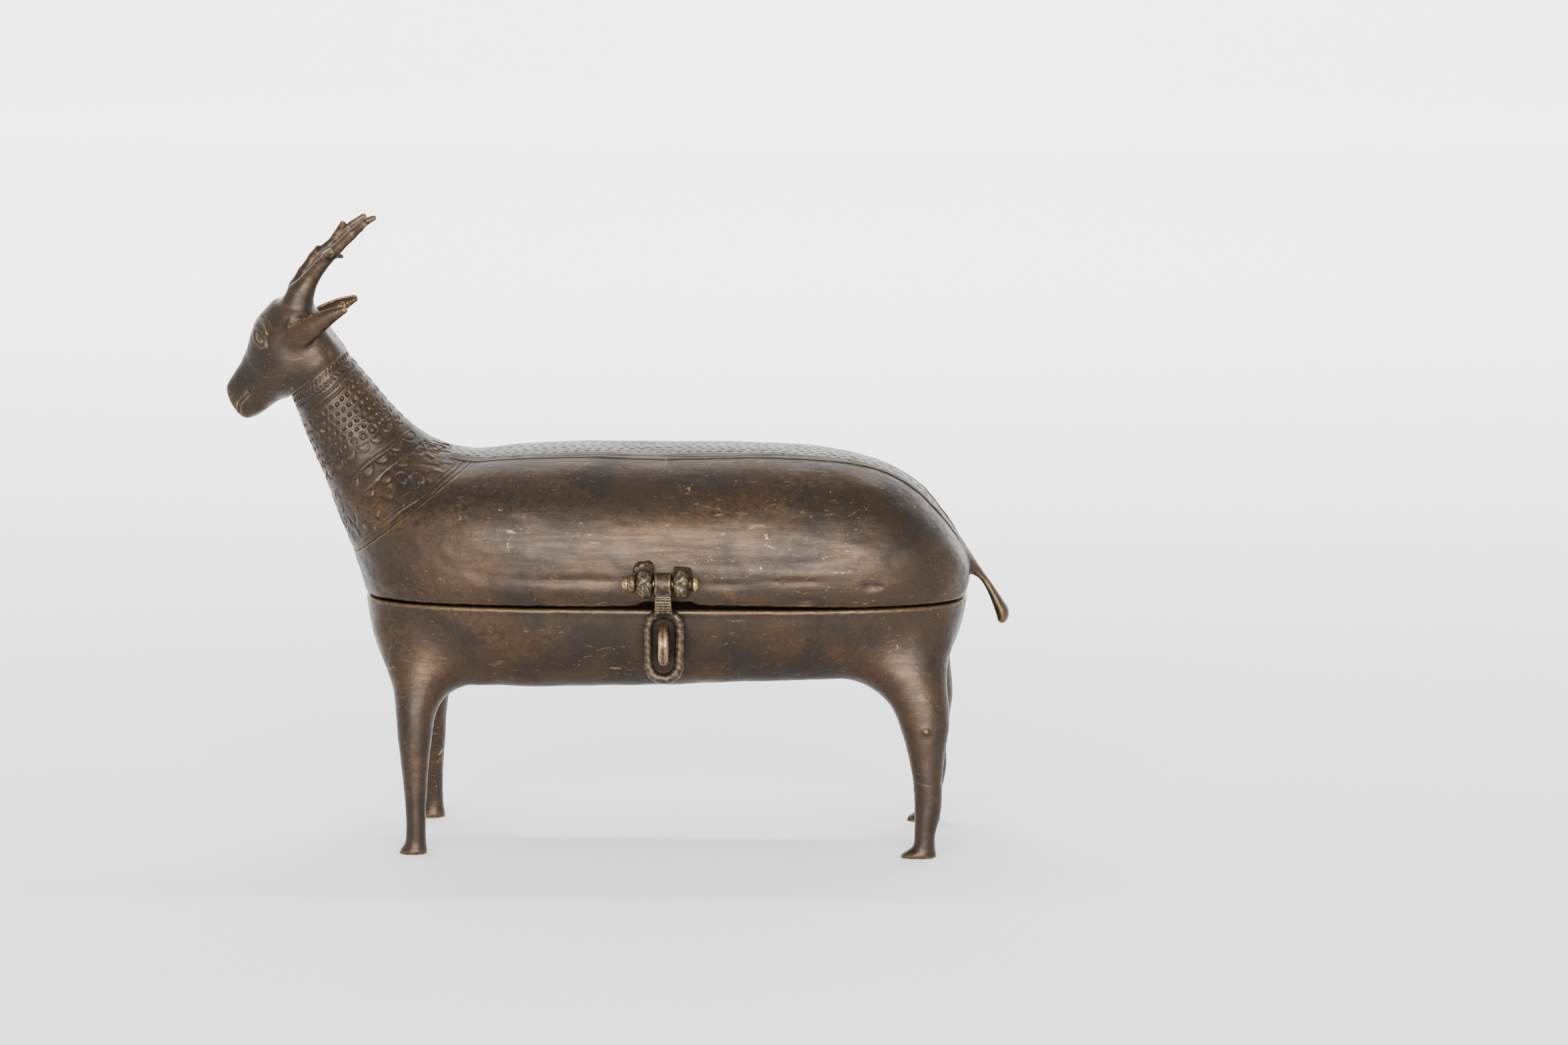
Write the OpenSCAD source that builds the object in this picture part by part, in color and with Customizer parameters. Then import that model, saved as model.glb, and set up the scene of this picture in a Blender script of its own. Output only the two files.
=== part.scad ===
// Stag-shaped casket in cast bronze: a trough on four legs, a hinged lid that carries the neck,
// head and tail, a hasp that drops over a staple on one side, and two pinned hinges on the other.
// Millimetres. The nose points to -X, the hasp side is -Y, and the hooves stand on Z = 0.

/* [Body] */
// Length of the trough at its rim
body_l = 228; // [200:1:280]
// Width of the trough at its rim
body_w = 90; // [78:1:110]
// Height of the rim above the ground
rim_z = 95.5; // [84:0.5:116]
// Depth of the trough from rim to belly, outside
trough_depth = 33; // [28:0.5:40]
// Height of the lid from the seam to the top of the back
lid_h = 55.5; // [46:0.5:68]
// Wall thickness of the trough and the lid
wall = 3; // [2.6:0.1:3.6]
// Squareness of the body in plan, where 2 is an ellipse
plan_power = 3.2; // [2.6:0.1:4]

/* [Shape of the shells] */
// How far the trough's side comes in between rim and belly
corner_in = 15; // [10:1:18]
// Roundness of the trough's lower corner
corner_power = 1.8; // [1.4:0.1:2.6]
// How far the lid bulges out past the rim
lid_bulge = 1.6; // [0.8:0.1:2]
// How far the lid comes back in at the seam
lid_tuck = 1.3; // [0.5:0.1:2]
// Height of the lid's widest place above the seam
lid_wide_z = 9.5; // [6:0.5:14]
// Roundness of the lid from side to top, where 2 is an ellipse
lid_power = 2.3; // [2:0.05:3]
// Roundness of the lid from its front end to the top
chest_power = 3.2; // [2.6:0.1:4]
// Roundness of the lid from the rump to the top
rump_power = 2.3; // [2:0.05:3]
// Open seam between the rim and the lid's edge
seam = 0.5; // [0.4:0.1:1.5]

/* [Neck, head and tail] */
// How far the nose stands out past the front of the trough
head_reach = 55.5; // [50:0.5:66]
// How far the tail stands out past the back of the trough
tail_reach = 16.5; // [14:0.5:20]
// Height of the nape above the rim, where the neck meets the head
nape_h = 101.5; // [90:0.5:120]
// Width of the neck where it meets the head
neck_w = 29; // [24:0.5:34]
// Width of the neck where it leaves the lid
neck_base_w = 62; // [50:1:70]
// Wall thickness of the hollow neck
neck_wall = 4; // [3:0.1:5]
// Width of the head at its cheeks
head_w = 30; // [25:0.5:36]
// Sideways spread of the antlers from tip to tip
antler_spread = 27; // [20:1:44]
// Width of the tail's flat strip
tail_w = 8.5; // [7:0.5:11]

/* [Legs] */
// Distance from the front end of the trough to the middle of the front ankles
front_leg_in = 19.5; // [16:0.5:24]
// Distance from the back end of the trough to the middle of the back ankles
back_leg_in = 15.5; // [13:0.5:22]
// Distance between the middles of a pair of hooves
track_w = 73; // [60:1:80]
// How much nearer each other a pair of legs is at the belly
leg_splay = 17; // [12:1:24]
// Width of an ankle from side to side
ankle_w = 7.6; // [6.5:0.1:10]
// Width of a leg at the belly from side to side
thigh_w = 14; // [12:0.5:17]
// Highest place of a leg's root above the belly
root_h = 21; // [16:0.5:24]

/* [Hasp and staple] */
// Position of the hasp along the body, from the body's middle towards the tail
hasp_at = 1.5; // [-20:0.5:30]
// Height of the hasp pin above the rim
hasp_pin_h = 10.6; // [9.5:0.1:14]
// Radius of the pins of the hasp and the hinges
pin_r = 1.6; // [1.2:0.1:2]
// Running clearance of a pin in a knuckle, on the radius
pin_clear = 0.08; // [0.05:0.01:0.1]
// Width of the hasp strap and of every knuckle
knuckle_w = 6.5; // [5:0.1:9]
// Outer radius of a knuckle
knuckle_r = 4.2; // [3.6:0.1:4.6]
// Outer radius of a lug
lug_r = 5.4; // [4.6:0.1:6]
// Width of a lug
lug_w = 6.5; // [5:0.1:8]
// Gap on each side of a knuckle, between it and its lugs
side_gap = 0.35; // [0.3:0.05:0.6]
// Gap between the hasp and the lid's side
hasp_clear = 0.7; // [0.5:0.1:1.2]
// Width of the hasp's loop, outside
loop_w = 15.3; // [14.5:0.1:18]
// Length of the hasp's loop, outside
loop_l = 27.7; // [27:0.1:33]
// Thickness of the loop's bar
loop_bar = 3.3; // [2.8:0.1:3.6]
// Thickness of the hasp strap
strap_t = 2.8; // [2.2:0.1:3.4]
// Thickness of the staple along the body
staple_w = 4.3; // [3:0.1:4.8]
// Height of the staple
staple_h = 15.5; // [12:0.5:16]
// Radius of the padlock hole in the staple
eye_r = 2.6; // [2:0.1:2.8]

/* [Hinges] */
// Distance of each hinge from the body's middle
hinge_at = 45; // [30:1:50]
// Distance of the hinge axis outside the trough's side
hinge_out = 7; // [6.5:0.1:9]
// Length of the hinge strap down the trough's side
hinge_strap_l = 18; // [12:0.5:22]

/* [Smoothness] */
// Points around each shell
around = 56; // [32:8:64]

/* [Hidden] */

PATINA = "#5c4535";
DARK = "#46382f";
WORN = "#7d5c3a";

// The whole object is centred in X, so the body's middle follows the head's and the tail's reach.
body_cx = (head_reach - tail_reach) / 2;
front_x = body_cx - body_l / 2;
back_x = body_cx + body_l / 2;
belly_z = rim_z - trough_depth;
seam_z = rim_z + seam;
wide_z = seam_z + lid_wide_z;
top_z = seam_z + lid_h;
half_l = body_l / 2;
half_w = body_w / 2;

// Number of rings on a shell's outside from the rim to the middle of the belly or the back.
wall_rings = 9;
// Castings that were one in the mould are sunk this far into each other here.
bite = wall / 2;

// Pins: the hasp hangs in front of the lid, the hinges stand behind the trough.
hasp_x = body_cx + hasp_at;
hasp_pin_y = -(half_w + lid_bulge + hasp_clear + knuckle_r);
hasp_pin_z = rim_z + hasp_pin_h;
hinge_y = half_w + hinge_out;
hinge_z = seam_z - seam / 2;
lug_mid = knuckle_w / 2 + side_gap + lug_w / 2;
lug_end = lug_mid + lug_w / 2;
head_ratio = 1.75;
head_t = 3.4;
head_r = pin_r * head_ratio;
collar_ratio = 2.1;
collar_t = 3.2;
collar_r = pin_r * collar_ratio;
nub_ratio = 1.4;
nub_t = 2.2;
nub_r = pin_r * nub_ratio;
pin_fn = 48;

// The loop hangs close to the trough, and the staple stands out as far as the hinges do behind.
loop_off_wall = 1.55;
loop_under_rim = 0.1;
loop_y = -(half_w + loop_bar / 2 + loop_off_wall);
loop_top_z = rim_z - loop_under_rim;
loop_mid_z = loop_top_z - loop_l / 2;
loop_r = (loop_w - loop_bar) / 2;
loop_straight = loop_l - loop_w;
reach = hinge_y + lug_r;
staple_lift = 1.25;
eye_clear = 0.45;
staple_z = loop_mid_z + staple_lift;
eye_y = loop_y - loop_bar / 2 - eye_clear - eye_r;

// ---- Lines and surfaces -------------------------------------------------------------------

// A number raised to a power with its sign kept.
function signed_pow(v, p) = sign(v) * pow(abs(v), p);

// Catmull-Rom curve through b and c, with a and d as its neighbours.
function curve(a, b, c, d, t) =
    0.5 * (2 * b + (c - a) * t + (2 * a - 5 * b + 4 * c - d) * t * t
           + (3 * b - a - 3 * c + d) * t * t * t);

// A list of rows made finer by a curve through them, with k steps between two rows.
function finer(rows, k) =
    let (last = len(rows) - 1)
    [for (i = [0:last - 1], j = [0:k - 1])
        curve(rows[max(i - 1, 0)], rows[i], rows[i + 1], rows[min(i + 2, last)], j / k),
     rows[last]];

// Point on a quadratic curve from a to c that is drawn towards b.
function bow(a, b, c, t) = (1 - t) * (1 - t) * a + 2 * t * (1 - t) * b + t * t * c;

// Closed outline of the body in plan at one height: a superellipse with half axes rx and ry.
// The half axis towards the head can have its own value, fx.
function plan(rx, ry, z, fx = undef) =
    [for (i = [0:around - 1])
        let (a = 360 * i / around, ax = cos(a) < 0 && fx != undef ? fx : rx)
        [body_cx + ax * signed_pow(cos(a), 2 / plan_power),
         ry * signed_pow(sin(a), 2 / plan_power), z]];

// How far out a place lies in plan, where 1 is on the outline with half axes rx and ry.
function plan_share(x, y, rx, ry) =
    pow(pow(abs(x - body_cx) / rx, plan_power) + pow(abs(y) / ry, plan_power), 1 / plan_power);

// How far the trough's side has come in at share s of its depth.
function trough_in(s) = corner_in * (1 - pow(1 - pow(s, corner_power), 1 / corner_power));

// Rings of the trough from the middle of the belly up to the rim, moved inwards by d.
function trough_rings(d) =
    [for (i = [1:wall_rings + 4])
        i <= 4
        ? plan((half_l - corner_in - d) * i / 4, (half_w - corner_in - d) * i / 4, belly_z + d)
        : let (a = 90 * (i - 4) / wall_rings, s = pow(cos(a), 2 / corner_power))
          plan(half_l - trough_in(s) - d, half_w - trough_in(s) - d,
               rim_z - s * (trough_depth - d))];

// Height of the trough's outside over a place in plan, moved inwards by d, found by halving.
function under_z(x, y, d, low = 0, high = 1, n = 18) =
    n == 0
    ? rim_z - (trough_depth - d) * low
    : let (s = (low + high) / 2, r = trough_in(s) + d)
      plan_share(x, y, half_l - r, half_w - r) < 1
      ? under_z(x, y, d, s, high, n - 1)
      : under_z(x, y, d, low, s, n - 1);

// Share of a half axis that is left at share u of the height, for a given roundness.
function left_at(u, power) = pow(1 - pow(u, power), 1 / power);

// Rings of the lid from its edge to near the top of the back, moved inwards by d.
function lid_rings(d) =
    let (rx = half_l + lid_bulge - d, ry = half_w + lid_bulge - d, h = top_z - wide_z - d)
    concat(
        [for (i = [0:3]) let (s = 1 - i / 4)
            plan(rx - lid_tuck * s * s, ry - lid_tuck * s * s, wide_z - lid_wide_z * s)],
        [for (i = [0:wall_rings]) let (u = pow(sin(87 * i / wall_rings), 2 / lid_power))
            plan(rx * left_at(u, rump_power), ry * left_at(u, lid_power), wide_z + h * u,
                 rx * left_at(u, chest_power))]);

// Height of the lid's outside over a place in plan, moved inwards by d, found by halving.
function lid_z(x, y, d, low = 0, high = 1, n = 18) =
    n == 0
    ? wide_z + (top_z - wide_z - d) * low
    : let (u = (low + high) / 2, power = x < body_cx ? chest_power : rump_power)
      plan_share(x, y, (half_l + lid_bulge - d) * left_at(u, power),
                 (half_w + lid_bulge - d) * left_at(u, lid_power)) < 1
      ? lid_z(x, y, d, u, high, n - 1)
      : lid_z(x, y, d, low, u, n - 1);

function middle(ring) = [for (k = [0:2]) let (v = [for (p = ring) p[k]]) (max(v) + min(v)) / 2];

// Solid skin over rings that follow each other. Each end closes onto one point.
module skin(rings, first, last) {
    n = len(rings[0]);
    m = len(rings);
    points = concat([for (r = rings) each r], [first, last]);
    sides = [for (i = [0:m - 2], j = [0:n - 1]) let (k = (j + 1) % n)
        [i * n + j, (i + 1) * n + j, (i + 1) * n + k, i * n + k]];
    start = [for (j = [0:n - 1]) [n * m, j, (j + 1) % n]];
    end = [for (j = [0:n - 1]) [n * m + 1, (m - 1) * n + (j + 1) % n, (m - 1) * n + j]];
    polyhedron(points, concat(sides, start, end));
}

// Solid skin over rings that lead back to the first one, as on a hollow tube.
module tube_skin(rings) {
    n = len(rings[0]);
    m = len(rings);
    sides = [for (i = [0:m - 1], j = [0:n - 1]) let (k = (j + 1) % n, h = (i + 1) % m)
        [i * n + j, h * n + j, h * n + k, i * n + k]];
    polyhedron([for (r = rings) each r], sides);
}

// Ring between a point above and a point below in the middle plane, with half width w.
function cross_ring(xu, zu, xl, zl, w, n, power) =
    [for (i = [0:n - 1]) let (a = 360 * i / n, c = signed_pow(cos(a), 2 / power))
        [(xu + xl) / 2 + (xu - xl) / 2 * c, w * signed_pow(sin(a), 2 / power),
         (zu + zl) / 2 + (zu - zl) / 2 * c]];

// A rod along X from x0 to x1 in the pin line at y, z.
module rod(x0, x1, y, z, r) {
    translate([x0, y, z]) rotate([0, 90, 0]) cylinder(h = x1 - x0, r = r, $fn = pin_fn);
}

// ---- The trough and what is fixed to it ---------------------------------------------------

module trough() {
    inner = trough_rings(wall);
    color(PATINA)
        skin(concat(trough_rings(0), [for (i = [len(inner) - 1:-1:0]) inner[i]]),
             [body_cx, 0, belly_z], [body_cx, 0, belly_z + wall]);
}

// Leg outlines, from the sole up: share of the belly's height, reach forwards and backwards from
// the middle of the ankle, and share of the way from ankle width to thigh width.
FRONT_LEG = [[0, 6.4, 3.8, 0.10], [0.04, 5.8, 3.6, 0.08], [0.09, 3.8, 3.4, 0.02], [0.32, 3.5, 3.6, 0],
             [0.53, 4.8, 4.8, 0.25], [0.74, 6.6, 6.4, 0.55], [0.89, 8.2, 9.5, 0.85]];
REAR_LEG = [[0, 8.8, 4.0, 0.10], [0.04, 6.0, 3.8, 0.08], [0.10, 3.5, 3.6, 0.02], [0.24, 3.5, 4.4, 0],
            [0.47, 4.5, 6.6, 0.2], [0.64, 6.5, 7.5, 0.4], [0.78, 9.2, 8.2, 0.7], [0.89, 14.7, 8.4, 0.9]];
FRONT_ROOT = [9, 15];
REAR_ROOT = [23, 7];
leg_around = 28;

// One leg. side is -1 for the hasp side and 1 for the hinge side.
module leg(ankle_x, rows, root, side) {
    rings = [for (r = finer(rows, 3))
        let (cy = side * (track_w - leg_splay * r[0] * r[0]) / 2,
             w = (ankle_w + (thigh_w - ankle_w) * r[3]) / 2)
        [for (i = [0:leg_around - 1]) let (a = 360 * i / leg_around)
            [ankle_x + (r[2] - r[1]) / 2 + (r[1] + r[2]) / 2 * cos(a), cy + w * sin(a),
             max(0, belly_z * r[0])]]];
    cy = side * (track_w - leg_splay) / 2;
    top = [for (i = [0:leg_around - 1])
        let (a = 360 * i / leg_around,
             x = ankle_x + (root[1] - root[0]) / 2 + (root[0] + root[1]) / 2 * cos(a),
             y = cy + thigh_w / 2 * sin(a))
        [x, y, min(under_z(x, y, bite), belly_z + root_h)]];
    mid = [ankle_x + (root[1] - root[0]) / 2, cy];
    color(PATINA)
        skin(concat(rings, [top]), [middle(rings[0])[0], middle(rings[0])[1], 0],
             [mid[0], mid[1], under_z(mid[0], mid[1], bite)]);
}

module front_leg(side) {
    leg(front_x + front_leg_in, FRONT_LEG, FRONT_ROOT, side);
}

module rear_leg(side) {
    leg(back_x - back_leg_in, REAR_LEG, REAR_ROOT, side);
}

// A thick flat eye that stands out of the trough's side. The hasp's loop drops over it, and a
// padlock goes through the hole outside the loop.
module staple() {
    round_y = -(reach - staple_h / 2);
    color(WORN)
        difference() {
            union() {
                rod(hasp_x - staple_w / 2, hasp_x + staple_w / 2, round_y, staple_z, staple_h / 2);
                translate([hasp_x - staple_w / 2, round_y, staple_z - staple_h / 2])
                    cube([staple_w, -round_y - half_w + wall * 0.9, staple_h]);
            }
            rod(hasp_x - staple_w, hasp_x + staple_w, eye_y, staple_z, eye_r);
        }
}

// A strap down the back of the trough that ends in a knuckle on the hinge axis.
module hinge_strap(x) {
    color(DARK)
        difference() {
            union() {
                rod(x - knuckle_w / 2, x + knuckle_w / 2, hinge_y, hinge_z, knuckle_r);
                translate([x - knuckle_w / 2, half_w - wall * 0.8, hinge_z - knuckle_r])
                    cube([knuckle_w, hinge_out + wall * 0.8, strap_t]);
                translate([x - knuckle_w / 2, half_w - wall * 0.8, rim_z - hinge_strap_l])
                    cube([knuckle_w, strap_t + wall * 0.8, hinge_strap_l - knuckle_r + strap_t / 2]);
            }
            rod(x - knuckle_w, x + knuckle_w, hinge_y, hinge_z, pin_r + pin_clear);
        }
}

// ---- The lid and what is fixed to it ------------------------------------------------------

module lid_shell() {
    outer = lid_rings(0);
    inner = lid_rings(wall);
    color(PATINA)
        skin(concat([for (i = [len(inner) - 1:-1:0]) inner[i]], outer),
             [body_cx, 0, top_z - wall], [body_cx, 0, top_z]);
}

// The neck's line: front and nape, from the lid to the head.
nape_run = 14;
throat_drop = 27.5;
throat_run = 14;
neck_foot = 38;
foot_in = 1;
nape_bow = [9.5, 5];
flare_power = 2.2;
pull_power = 4;
neck_around = 40;
neck_steps = 9;
nape = [front_x - nape_run, rim_z + nape_h];
throat = [nape[0] - throat_run, nape[1] - throat_drop];
foot_front = [front_x + foot_in, lid_z(front_x + foot_in, 0, 0)];
foot_back = [front_x + neck_foot, lid_z(front_x + neck_foot, 0, 0)];

// Ring of the neck at share t of its length, moved inwards by d, before it is fitted to the lid.
function free_ring(t, d) =
    let (f = foot_front + (throat - foot_front) * t,
         b = bow(foot_back, [front_x + nape_bow[0], foot_back[1] + nape_bow[1]], nape, t),
         u = (b - f) / norm(b - f),
         w = neck_w / 2 + (neck_base_w - neck_w) / 2 * pow(1 - t, flare_power) - d)
    cross_ring(b[0] - u[0] * d, b[1] - u[1] * d, f[0] + u[0] * d, f[1] + u[1] * d, w, neck_around, 2);

// Ring of the neck at share t, with its foot drawn down onto the lid.
function neck_ring(t, d) =
    let (free = free_ring(t, d), foot = free_ring(0, d), pull = pow(1 - t, pull_power))
    [for (i = [0:neck_around - 1])
        let (p = foot[i], z = lid_z(p[0], p[1], bite))
        free[i] + [0, 0, (z - p[2]) * pull]];

module neck() {
    shares = [for (i = [0:neck_steps]) i / neck_steps];
    color(PATINA)
        tube_skin(concat([for (t = shares) neck_ring(t, 0)],
                         [for (i = [neck_steps:-1:0]) neck_ring(shares[i], neck_wall)]));
}

// The head from the back of the skull to the nose, measured from the nape: the upper line, the
// lower line and the half width as a share of the cheeks' half width.
HEAD = [[3, -3, -10, -28, 0.80], [-6, 5, -14, -27.5, 0.95], [-13, 11, -17.5, -27, 1],
        [-20, 11.5, -20, -27.5, 0.98], [-27, 4.5, -23, -28.5, 0.90], [-30.5, -3, -26, -30, 0.76],
        [-33.5, -12, -28.5, -31.5, 0.58], [-37.5, -18.5, -31, -33, 0.46],
        [-41, -22.8, -33.5, -33.6, 0.36], [-41.4, -24.5, -35.5, -31.5, 0.2]];
nose_drop = 28;
head_run = 41.5;
head_power = 2.2;
nose = [front_x - head_reach, rim_z + nape_h - nose_drop];
head_around = 28;

module head() {
    // The head is as long as the reach asks: its rows are stretched from the nape to the nose.
    stretch = (nape[0] - nose[0]) / head_run;
    rings = [for (r = finer(HEAD, 2))
        cross_ring(nape[0] + r[0] * stretch, nape[1] + r[1], nape[0] + r[2] * stretch,
                   nape[1] + r[3], r[4] * head_w / 2, head_around, head_power)];
    color(PATINA)
        skin(rings, middle(rings[0]), [nose[0], 0, nose[1]]);
}

// Balls along an antler's beam, measured from the nape: place, share of the spread, radius.
BEAM = [[-12, 6, 0.42, 6.2], [-9.5, 13, 0.5, 4.6], [-5.5, 21, 0.62, 3.5], [0.5, 29, 0.78, 2.9],
        [8, 37, 0.92, 2.3], [15, 42, 1, 1.5]];
// Tines: the ball that each one leaves from, then its tip.
TINES = [[2, [-6, 27.5, 0.35, 1.2]], [3, [3.5, 27, 1.1, 1.1]], [4, [3, 36.5, 0.6, 1.1]]];
tine_root_in = 0.8;
antler_fn = 14;

module beam_ball(b) {
    translate([nape[0] + b[0], -b[2] * antler_spread / 2, nape[1] + b[1]]) sphere(r = b[3], $fn = antler_fn);
}

module antler() {
    color(DARK) {
        for (i = [0:len(BEAM) - 2])
            hull() {
                beam_ball(BEAM[i]);
                beam_ball(BEAM[i + 1]);
            }
        for (t = TINES)
            hull() {
                beam_ball(BEAM[t[0]] - [0, 0, 0, tine_root_in]);
                beam_ball(t[1]);
            }
    }
}

// One ear: a flat leaf that points backwards and outwards from behind the antler's root.
ear_root = [-13, 3];
ear_tip = [6, 9];
ear_out = 9;
ear_h = 9;
ear_y = head_w * 0.4;
ear_mid = [(ear_root[0] + ear_tip[0]) / 2, ear_root[1] + 0.6];
ear_mid_out = ear_out * 0.6;
ear_root_r = ear_h / 2.4;
ear_tip_r = 0.9;

module ear() {
    color(DARK)
        hull() {
            translate([nape[0] + ear_root[0], -ear_y, nape[1] + ear_root[1]])
                scale([1, 0.6, 1]) sphere(r = ear_root_r, $fn = 24);
            translate([nape[0] + ear_mid[0], -ear_y - ear_mid_out, nape[1] + ear_mid[1]])
                scale([1, 0.35, 1]) sphere(r = ear_h / 2, $fn = 24);
            translate([nape[0] + ear_tip[0], -ear_y - ear_out, nape[1] + ear_tip[1]])
                sphere(r = ear_tip_r, $fn = 16);
        }
}

// The tail from its root in the rump to its tip, measured from the back of the trough and the
// rim: inner line, outer line and share of the width.
TAIL = [[-2.5, 11.5, 0.2, 16.5, 1], [1.2, 8.5, 2.5, 12.5, 0.9], [3.8, 5.5, 6.2, 8, 0.85],
        [7, -1.5, 9.6, 0, 0.95], [10.8, -8, 14.2, -5.2, 1.15], [12.8, -9.9, 16, -7.6, 0.9],
        [14.1, -10.6, 15.7, -9.6, 0.45]];
tail_run = 16.2;
tail_power = 2.6;
tail_around = 20;

module tail() {
    stretch = tail_reach / tail_run;
    rings = [for (r = finer(TAIL, 2))
        cross_ring(back_x + r[0] * stretch, rim_z + r[1], back_x + r[2] * stretch, rim_z + r[3],
                   r[4] * tail_w / 2, tail_around, tail_power)];
    color(PATINA)
        skin(rings, middle(rings[0]), middle(rings[len(rings) - 1]));
}

// A brazed lug on the lid's side: a drilled round eye with a block that runs into the wall.
module hasp_lug(side) {
    x = hasp_x + side * lug_mid - lug_w / 2;
    color(DARK)
        difference() {
            union() {
                rod(x, x + lug_w, hasp_pin_y, hasp_pin_z, lug_r);
                translate([x, hasp_pin_y, hasp_pin_z - lug_r])
                    cube([lug_w, -hasp_pin_y - half_w - lid_bulge + bite, 2 * lug_r]);
            }
            rod(x - lug_w, x + 2 * lug_w, hasp_pin_y, hasp_pin_z, pin_r);
        }
}

module hasp_pin() {
    color(WORN) {
        rod(hasp_x - lug_end - collar_t, hasp_x + lug_end, hasp_pin_y, hasp_pin_z, pin_r);
        rod(hasp_x + lug_end, hasp_x + lug_end + head_t, hasp_pin_y, hasp_pin_z, head_r);
        rod(hasp_x - lug_end - collar_t - nub_t, hasp_x - lug_end - collar_t,
            hasp_pin_y, hasp_pin_z, nub_r);
    }
}

// A loose collar under the hammered end of the hasp pin.
module pin_collar() {
    color(DARK)
        difference() {
            rod(hasp_x - lug_end - collar_t, hasp_x - lug_end, hasp_pin_y, hasp_pin_z, collar_r);
            rod(hasp_x - lug_end - 2 * collar_t, hasp_x, hasp_pin_y, hasp_pin_z, pin_r);
        }
}

module hinge_lug(hinge_x, side) {
    x = hinge_x + side * lug_mid - lug_w / 2;
    color(DARK)
        difference() {
            union() {
                rod(x, x + lug_w, hinge_y, hinge_z, lug_r);
                translate([x, half_w - wall * 0.8, hinge_z + seam])
                    cube([lug_w, hinge_out + wall * 0.8, lug_r - seam]);
            }
            rod(x - lug_w, x + 2 * lug_w, hinge_y, hinge_z, pin_r);
        }
}

module hinge_pin(x) {
    color(WORN) {
        rod(x - lug_end, x + lug_end, hinge_y, hinge_z, pin_r);
        rod(x - lug_end - nub_t, x - lug_end, hinge_y, hinge_z, nub_r);
        rod(x + lug_end, x + lug_end + nub_t, hinge_y, hinge_z, nub_r);
    }
}

// ---- The hasp -----------------------------------------------------------------------------

// Half a ring of the loop's bar, open downwards.
module half_loop(z, turn) {
    translate([hasp_x, loop_y, z]) rotate([90, turn, 0])
        rotate_extrude(angle = 180, $fn = 64)
            translate([loop_r, 0]) circle(d = loop_bar, $fn = 32);
}

module hasp() {
    color(DARK)
        difference() {
            union() {
                rod(hasp_x - knuckle_w / 2, hasp_x + knuckle_w / 2, hasp_pin_y, hasp_pin_z, knuckle_r);
                translate([hasp_x - knuckle_w / 2, 0, 0]) rotate([90, 0, 90])
                    linear_extrude(knuckle_w)
                        polygon([[hasp_pin_y - strap_t / 2, hasp_pin_z - pin_r * 2],
                                 [hasp_pin_y - strap_t / 2, hasp_pin_z - knuckle_r - 1],
                                 [loop_y - strap_t / 2, loop_top_z + 1],
                                 [loop_y - strap_t / 2, loop_top_z - loop_bar * 0.8],
                                 [loop_y + strap_t / 2, loop_top_z - loop_bar * 0.8],
                                 [loop_y + strap_t / 2, loop_top_z + 2],
                                 [hasp_pin_y + strap_t / 2, hasp_pin_z - pin_r * 2]]);
                half_loop(loop_mid_z + loop_straight / 2, 0);
                half_loop(loop_mid_z - loop_straight / 2, 180);
                for (side = [-1, 1])
                    translate([hasp_x + side * loop_r, loop_y, loop_mid_z - loop_straight / 2])
                        cylinder(h = loop_straight, d = loop_bar, $fn = 32);
            }
            rod(hasp_x - knuckle_w, hasp_x + knuckle_w, hasp_pin_y, hasp_pin_z, pin_r + pin_clear);
        }
}

// ---- Assembly -----------------------------------------------------------------------------

trough();
front_leg(-1);  // leg_front_left
front_leg(1);  // leg_front_right
rear_leg(-1);  // leg_rear_left
rear_leg(1);  // leg_rear_right
staple();
hinge_strap(body_cx - hinge_at);  // hinge_strap_fore
hinge_strap(body_cx + hinge_at);  // hinge_strap_aft
lid_shell();
neck();
head();
antler();  // antler_left
mirror([0, 1, 0]) antler();  // antler_right
ear();  // ear_left
mirror([0, 1, 0]) ear();  // ear_right
tail();
hasp_lug(-1);  // hasp_lug_fore
hasp_lug(1);  // hasp_lug_aft
hasp_pin();
pin_collar();
hinge_lug(body_cx - hinge_at, -1);  // hinge_fore_lug_a
hinge_lug(body_cx - hinge_at, 1);  // hinge_fore_lug_b
hinge_pin(body_cx - hinge_at);  // hinge_fore_pin
hinge_lug(body_cx + hinge_at, -1);  // hinge_aft_lug_a
hinge_lug(body_cx + hinge_at, 1);  // hinge_aft_lug_b
hinge_pin(body_cx + hinge_at);  // hinge_aft_pin
hasp();
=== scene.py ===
"""Stag-shaped casket in cast bronze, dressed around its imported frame. Lengths are millimetres until a mesh is made."""

import math

import bpy
import numpy as np
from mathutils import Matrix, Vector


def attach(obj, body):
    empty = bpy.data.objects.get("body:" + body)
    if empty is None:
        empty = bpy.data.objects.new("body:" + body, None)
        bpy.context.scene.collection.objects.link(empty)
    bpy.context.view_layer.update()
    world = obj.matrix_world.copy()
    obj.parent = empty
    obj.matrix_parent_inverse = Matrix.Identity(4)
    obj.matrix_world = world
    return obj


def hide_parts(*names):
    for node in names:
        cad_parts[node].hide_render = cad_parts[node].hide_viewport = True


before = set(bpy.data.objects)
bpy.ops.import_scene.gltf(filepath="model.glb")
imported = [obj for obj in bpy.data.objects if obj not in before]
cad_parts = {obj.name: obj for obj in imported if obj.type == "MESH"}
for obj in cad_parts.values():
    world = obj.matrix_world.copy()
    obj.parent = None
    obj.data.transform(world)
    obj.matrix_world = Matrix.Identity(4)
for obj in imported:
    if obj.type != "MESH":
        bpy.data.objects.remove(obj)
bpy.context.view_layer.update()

# ---------------------------------------------------------------------------------------------
# Trough and legs
# One bronze casting: an open boat-shaped box whose walls run down into four short legs with
# small forward-pointing hooves. It was modelled in wax over a clay core, so every corner is soft.

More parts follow.
